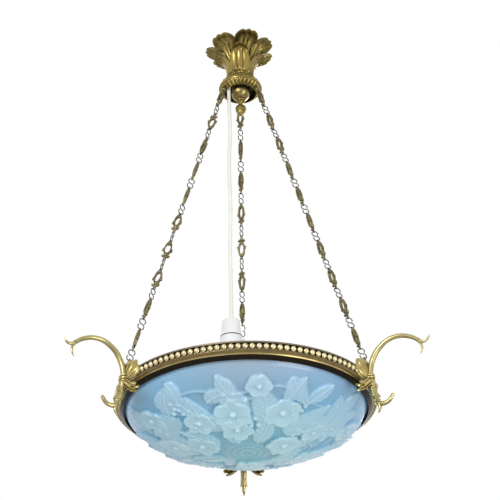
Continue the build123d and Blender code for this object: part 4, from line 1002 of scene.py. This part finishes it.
def relief_height(angle, along, total):
    """Height of the moulded relief at an azimuth and a distance along the profile from the bottom."""
    high = np.zeros_like(along)
    radius = np.interp(along, line_along, line_radius)
    for waves, middle, swing, phase in garlands:
        far = np.abs(along - middle - swing * np.sin(waves * angle + phase)) / 0.0026
        high = np.maximum(high, 0.0026 * np.sqrt(np.clip(1 - far**2, 0, 1)))
    for kind, azimuth, start, size, turn, bend in motif_places():
        away = (angle - azimuth + pi) % (2 * pi) - pi
        near = (np.abs(away * radius) < 1.1 * size) & (np.abs(along - start) < 1.1 * size)
        x, y = turned((away * radius)[near], along[near], 0.0, start, turn + (180 if kind == "hanging" else 0))
        if kind in ("leaf", "hanging"):
            shape = leaf_relief(x, y, size, size * (0.30 + 0.10 * abs(bend)), 0.0046, bend)
        elif kind == "blossom":
            shape = blossom_relief(x, y, size, 0.0068, 5 if bend > 0 else 6)
        else:
            shape = berries_relief(x, y, size, 0.0062, 7)
        high[near] = np.maximum(high[near], shape)
    far = along / 0.040
    high = high * soft_step(0.028, 0.046, along)
    high = np.maximum(high, 0.0009 * (1 + np.cos(far * 7 * pi)) * np.exp(-(far**4)))
    return high * soft_step(total - 0.006, total - 0.020, along)


line_along, line_radius, line_height, normal_out, normal_up = bowl_line()


def milk_and_edge_highlights(high, rows):
    """Share of milkiness for each point of the relief's grid: milky where the relief is thick, with painted highlights
    on edges and veins that stand up.
    """
    grid = high.reshape(rows + 1, -1)
    mean = np.zeros_like(grid)
    reach = 3
    for across in range(-reach, reach + 1):
        for up in range(-1, 2):
            mean += np.roll(np.roll(grid, across, axis=1), up, axis=0)
    mean /= 3 * (2 * reach + 1)
    # First term: milkiness of thick relief; second term: painted highlights on edges and veins that stand up
    return np.clip(0.80 * mean / 0.0062 + 0.16 * (grid - mean) / 0.0012, 0, 1).ravel()


def bowl_skin():
    """Outer face of the bowl, with the relief's milkiness and painted edge highlights kept as an attribute."""
    total = line_along[-1]
    sunk = 0.0018
    rows = 122
    kept = {}

    def outer(u, v):
        angle = u * 2 * pi
        along = v * total
        high = relief_height(angle, along, total)
        kept["milk"] = milk_and_edge_highlights(high, rows)
        high = high - sunk * soft_step(total - 0.006, total - 0.020, along)
        radius = np.interp(along, line_along, line_radius) + high * np.interp(along, line_along, normal_out)
        height = np.interp(along, line_along, line_height) + high * np.interp(along, line_along, normal_up)
        return round_points(radius, angle, height)

    skin = sheet_of(690, rows, outer)
    mark = skin.data.attributes.new("relief", "FLOAT", "POINT")
    mark.data.foreach_set("value", kept["milk"].astype(np.float32))
    return tidy_mesh(skin)


def make_bowl():
    """Moulded bowl: relief outside, a smooth wall inside, and the lip that rests in the ring."""
    skin = bowl_skin()
    profile = [(bowl_neck, bowl_foot), (0.2135, bowl_foot), (0.2135, bowl_foot + 0.0042), (0.2127, bowl_foot + 0.0050),
               (0.2023, bowl_foot + 0.0050), (0.2015, bowl_foot + 0.0040)]
    for spot in range(len(line_along) - 8, 0, -12):
        profile.append((
            max(0.0, line_radius[spot] - bowl_wall * normal_out[spot]),
            line_height[spot] - bowl_wall * normal_up[spot],
        ))
    profile.append((0.0, line_height[0] + bowl_wall))
    wall = lathe(profile, steps=160)
    whole = tidy_mesh(join("dish", [skin, wall]), 0.00004)
    finish_piece(whole, "dish_relief", "glass", "opal_glass", ["glass_dish"], 60)


def make_flex():
    """Free flex as a smooth curve, straight down from the hub into the lampholder's cap."""
    clear_selection()
    bpy.ops.curve.primitive_bezier_curve_add()
    piece = bpy.context.object
    curve = piece.data
    curve.dimensions = "3D"
    curve.bevel_depth = flex_diameter / 2
    curve.bevel_resolution = 5
    curve.use_fill_caps = True
    curve.splines.clear()
    spline = curve.splines.new("NURBS")
    spline.points.add(len(flex_waves) - 1)
    for point, (level, wave) in zip(spline.points, flex_waves):
        point.co = (holder_x + wave, holder_y, flex_exit - 0.00035 - level, 1)
    spline.order_u = 3
    spline.use_endpoint_u = True
    piece.location = (0, 0, 0)
    piece.name = "flex_line"
    curve.name = "flex_line"
    curve.materials.append(finishes["flex_sheath"])
    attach(piece, "lampholder")
    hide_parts("flex_cord")
    return piece


# Nodes of the model that show as they are, by their finish
node_finishes = {
    "plate_steel": ["ceiling_plate"],
    "hardware_steel": ["ceiling_hook", "hanging_link", "stem", "hub_spacer", "arm_screws"],
    "dark_bronze": ["eye_nut", "hub_eyes", "chain_eyes"],
    "ball_bronze": ["hub_ball"],
    "rim_bronze": ["rim_ring"],
    "bead_gilt": ["bead_band"],
    "hook_wire": ["s_hooks_left", "s_hooks_right", "s_hooks_back"],
    "felt": ["seat_gasket"],
    # The grommet is black rubber; the holder band is black as painted shade of the seam between the lampholder's cap
    # and body
    "black_rubber": ["flex_grommet", "holder_band"],
    "flex_sheath": ["flex_inner"],
    "white_plastic": ["terminal_block", "holder_cap", "holder_body", "contact_block", "shade_ring"],
    "contact_brass": ["contact_plungers", "bayonet_sleeve", "bulb_cap"],
    "bulb_glass": ["bulb_glass"],
}


def paint_nodes():
    """Gives each shown node of the model its finish."""
    for finish, names in node_finishes.items():
        for name in names:
            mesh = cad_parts[name].data
            mesh.materials.clear()
            mesh.materials.append(finishes[finish])


# Camera, light and floor

camera_yaw, camera_pitch, camera_roll = radians(0.34), radians(31.17), radians(1.19)
camera_front, camera_drop = 2.0874, 0.9486
camera_sensor, camera_lens = 36.0, 95.76
floor_size, floor_level = 14, -2.6
ambient_strength = 0.50
# Soft lights: place, target, size and power
soft_lights = {
    "key": ((-1.3, -2.6, -0.4), (0, 0, -0.6), 1.0, 46),
    "fill": ((1.8, -1.8, -1.6), (0, 0, -0.7), 1.4, 26),
    "rim": ((0.8, 2.2, 0.3), (0, 0, -0.5), 1.2, 22),
}


def put_in_scene(name, data):
    """Scene object for a camera or a light."""
    made = bpy.data.objects.new(name, data)
    bpy.context.scene.collection.objects.link(made)
    return made


def make_camera():
    """Camera below the bowl, looking up at the photograph's angle."""
    data = bpy.data.cameras.new("camera")
    data.sensor_width = camera_sensor
    data.lens = camera_lens
    right = Vector((cos(camera_yaw), -sin(camera_yaw), 0))
    level = Vector((sin(camera_yaw), cos(camera_yaw), 0))
    ahead = level * cos(camera_pitch) + Vector((0, 0, sin(camera_pitch)))
    up = Vector((0, 0, cos(camera_pitch))) - level * sin(camera_pitch)
    across = right * cos(camera_roll) - up * sin(camera_roll)
    above = right * sin(camera_roll) + up * cos(camera_roll)
    turn = Matrix((across, above, -ahead)).transposed().to_4x4()
    camera = put_in_scene("camera", data)
    camera.matrix_world = Matrix.Translation((0, -camera_front, ring_plane - camera_drop)) @ turn
    bpy.context.scene.camera = camera


def make_lights():
    """Soft square lights, each aimed at its target."""
    for name, (place, target, size, power) in soft_lights.items():
        data = bpy.data.lights.new(name, "AREA")
        data.size = size
        data.energy = power
        lamp = put_in_scene(name, data)
        lamp.location = place
        lamp.rotation_euler = (Vector(target) - Vector(place)).to_track_quat("-Z", "Y").to_euler()


def make_floor():
    """Pale floor far below, clear from underneath."""
    clear_selection()
    bpy.ops.mesh.primitive_plane_add(size=floor_size, location=(0, 0, floor_level))
    floor = bpy.context.object
    floor.name = "floor"
    material, tree, surface = new_material("floor")
    feed(tree, surface, {"Base Color": (0.86, 0.86, 0.85, 1), "Roughness": 0.6})
    blend = node(tree, "MixShader", {
        0: node(tree, "NewGeometry").outputs["Backfacing"],
        1: surface.outputs[0],
        2: node(tree, "BsdfTransparent").outputs[0],
    })
    feed(tree, tree.nodes["Material Output"], {0: blend.outputs[0]})
    floor.data.materials.append(material)


def make_surround():
    """White surround, full for what is seen directly, mirrored or through glass, and weaker as light."""
    white = (1, 1, 1, 1)
    world = bpy.data.worlds.new("surround")
    bpy.context.scene.world = world
    world.use_nodes = True
    tree = world.node_tree
    seen = feed(tree, tree.nodes["Background"], {"Color": white, "Strength": 1.0})
    ambient = node(tree, "Background", {"Color": white, "Strength": ambient_strength})
    rays = node(tree, "LightPath").outputs
    seen_or_mirrored = calculate(tree, "MAXIMUM", rays["Is Camera Ray"], rays["Is Glossy Ray"])
    any_seen = calculate(tree, "MAXIMUM", seen_or_mirrored, rays["Is Transmission Ray"])
    blend = node(tree, "MixShader", {0: any_seen, 1: ambient.outputs[0], 2: seen.outputs[0]})
    feed(tree, tree.nodes["World Output"], {0: blend.outputs[0]})


make_camera()
make_flex()
make_canopy()
make_collar()
hub_dome()
hub_gadroons()
make_finial()
make_chains()
make_mounts()
make_bowl()
paint_nodes()
make_floor()
make_surround()
make_lights()
bpy.context.scene.view_settings.view_transform = "Standard"
clear_selection()
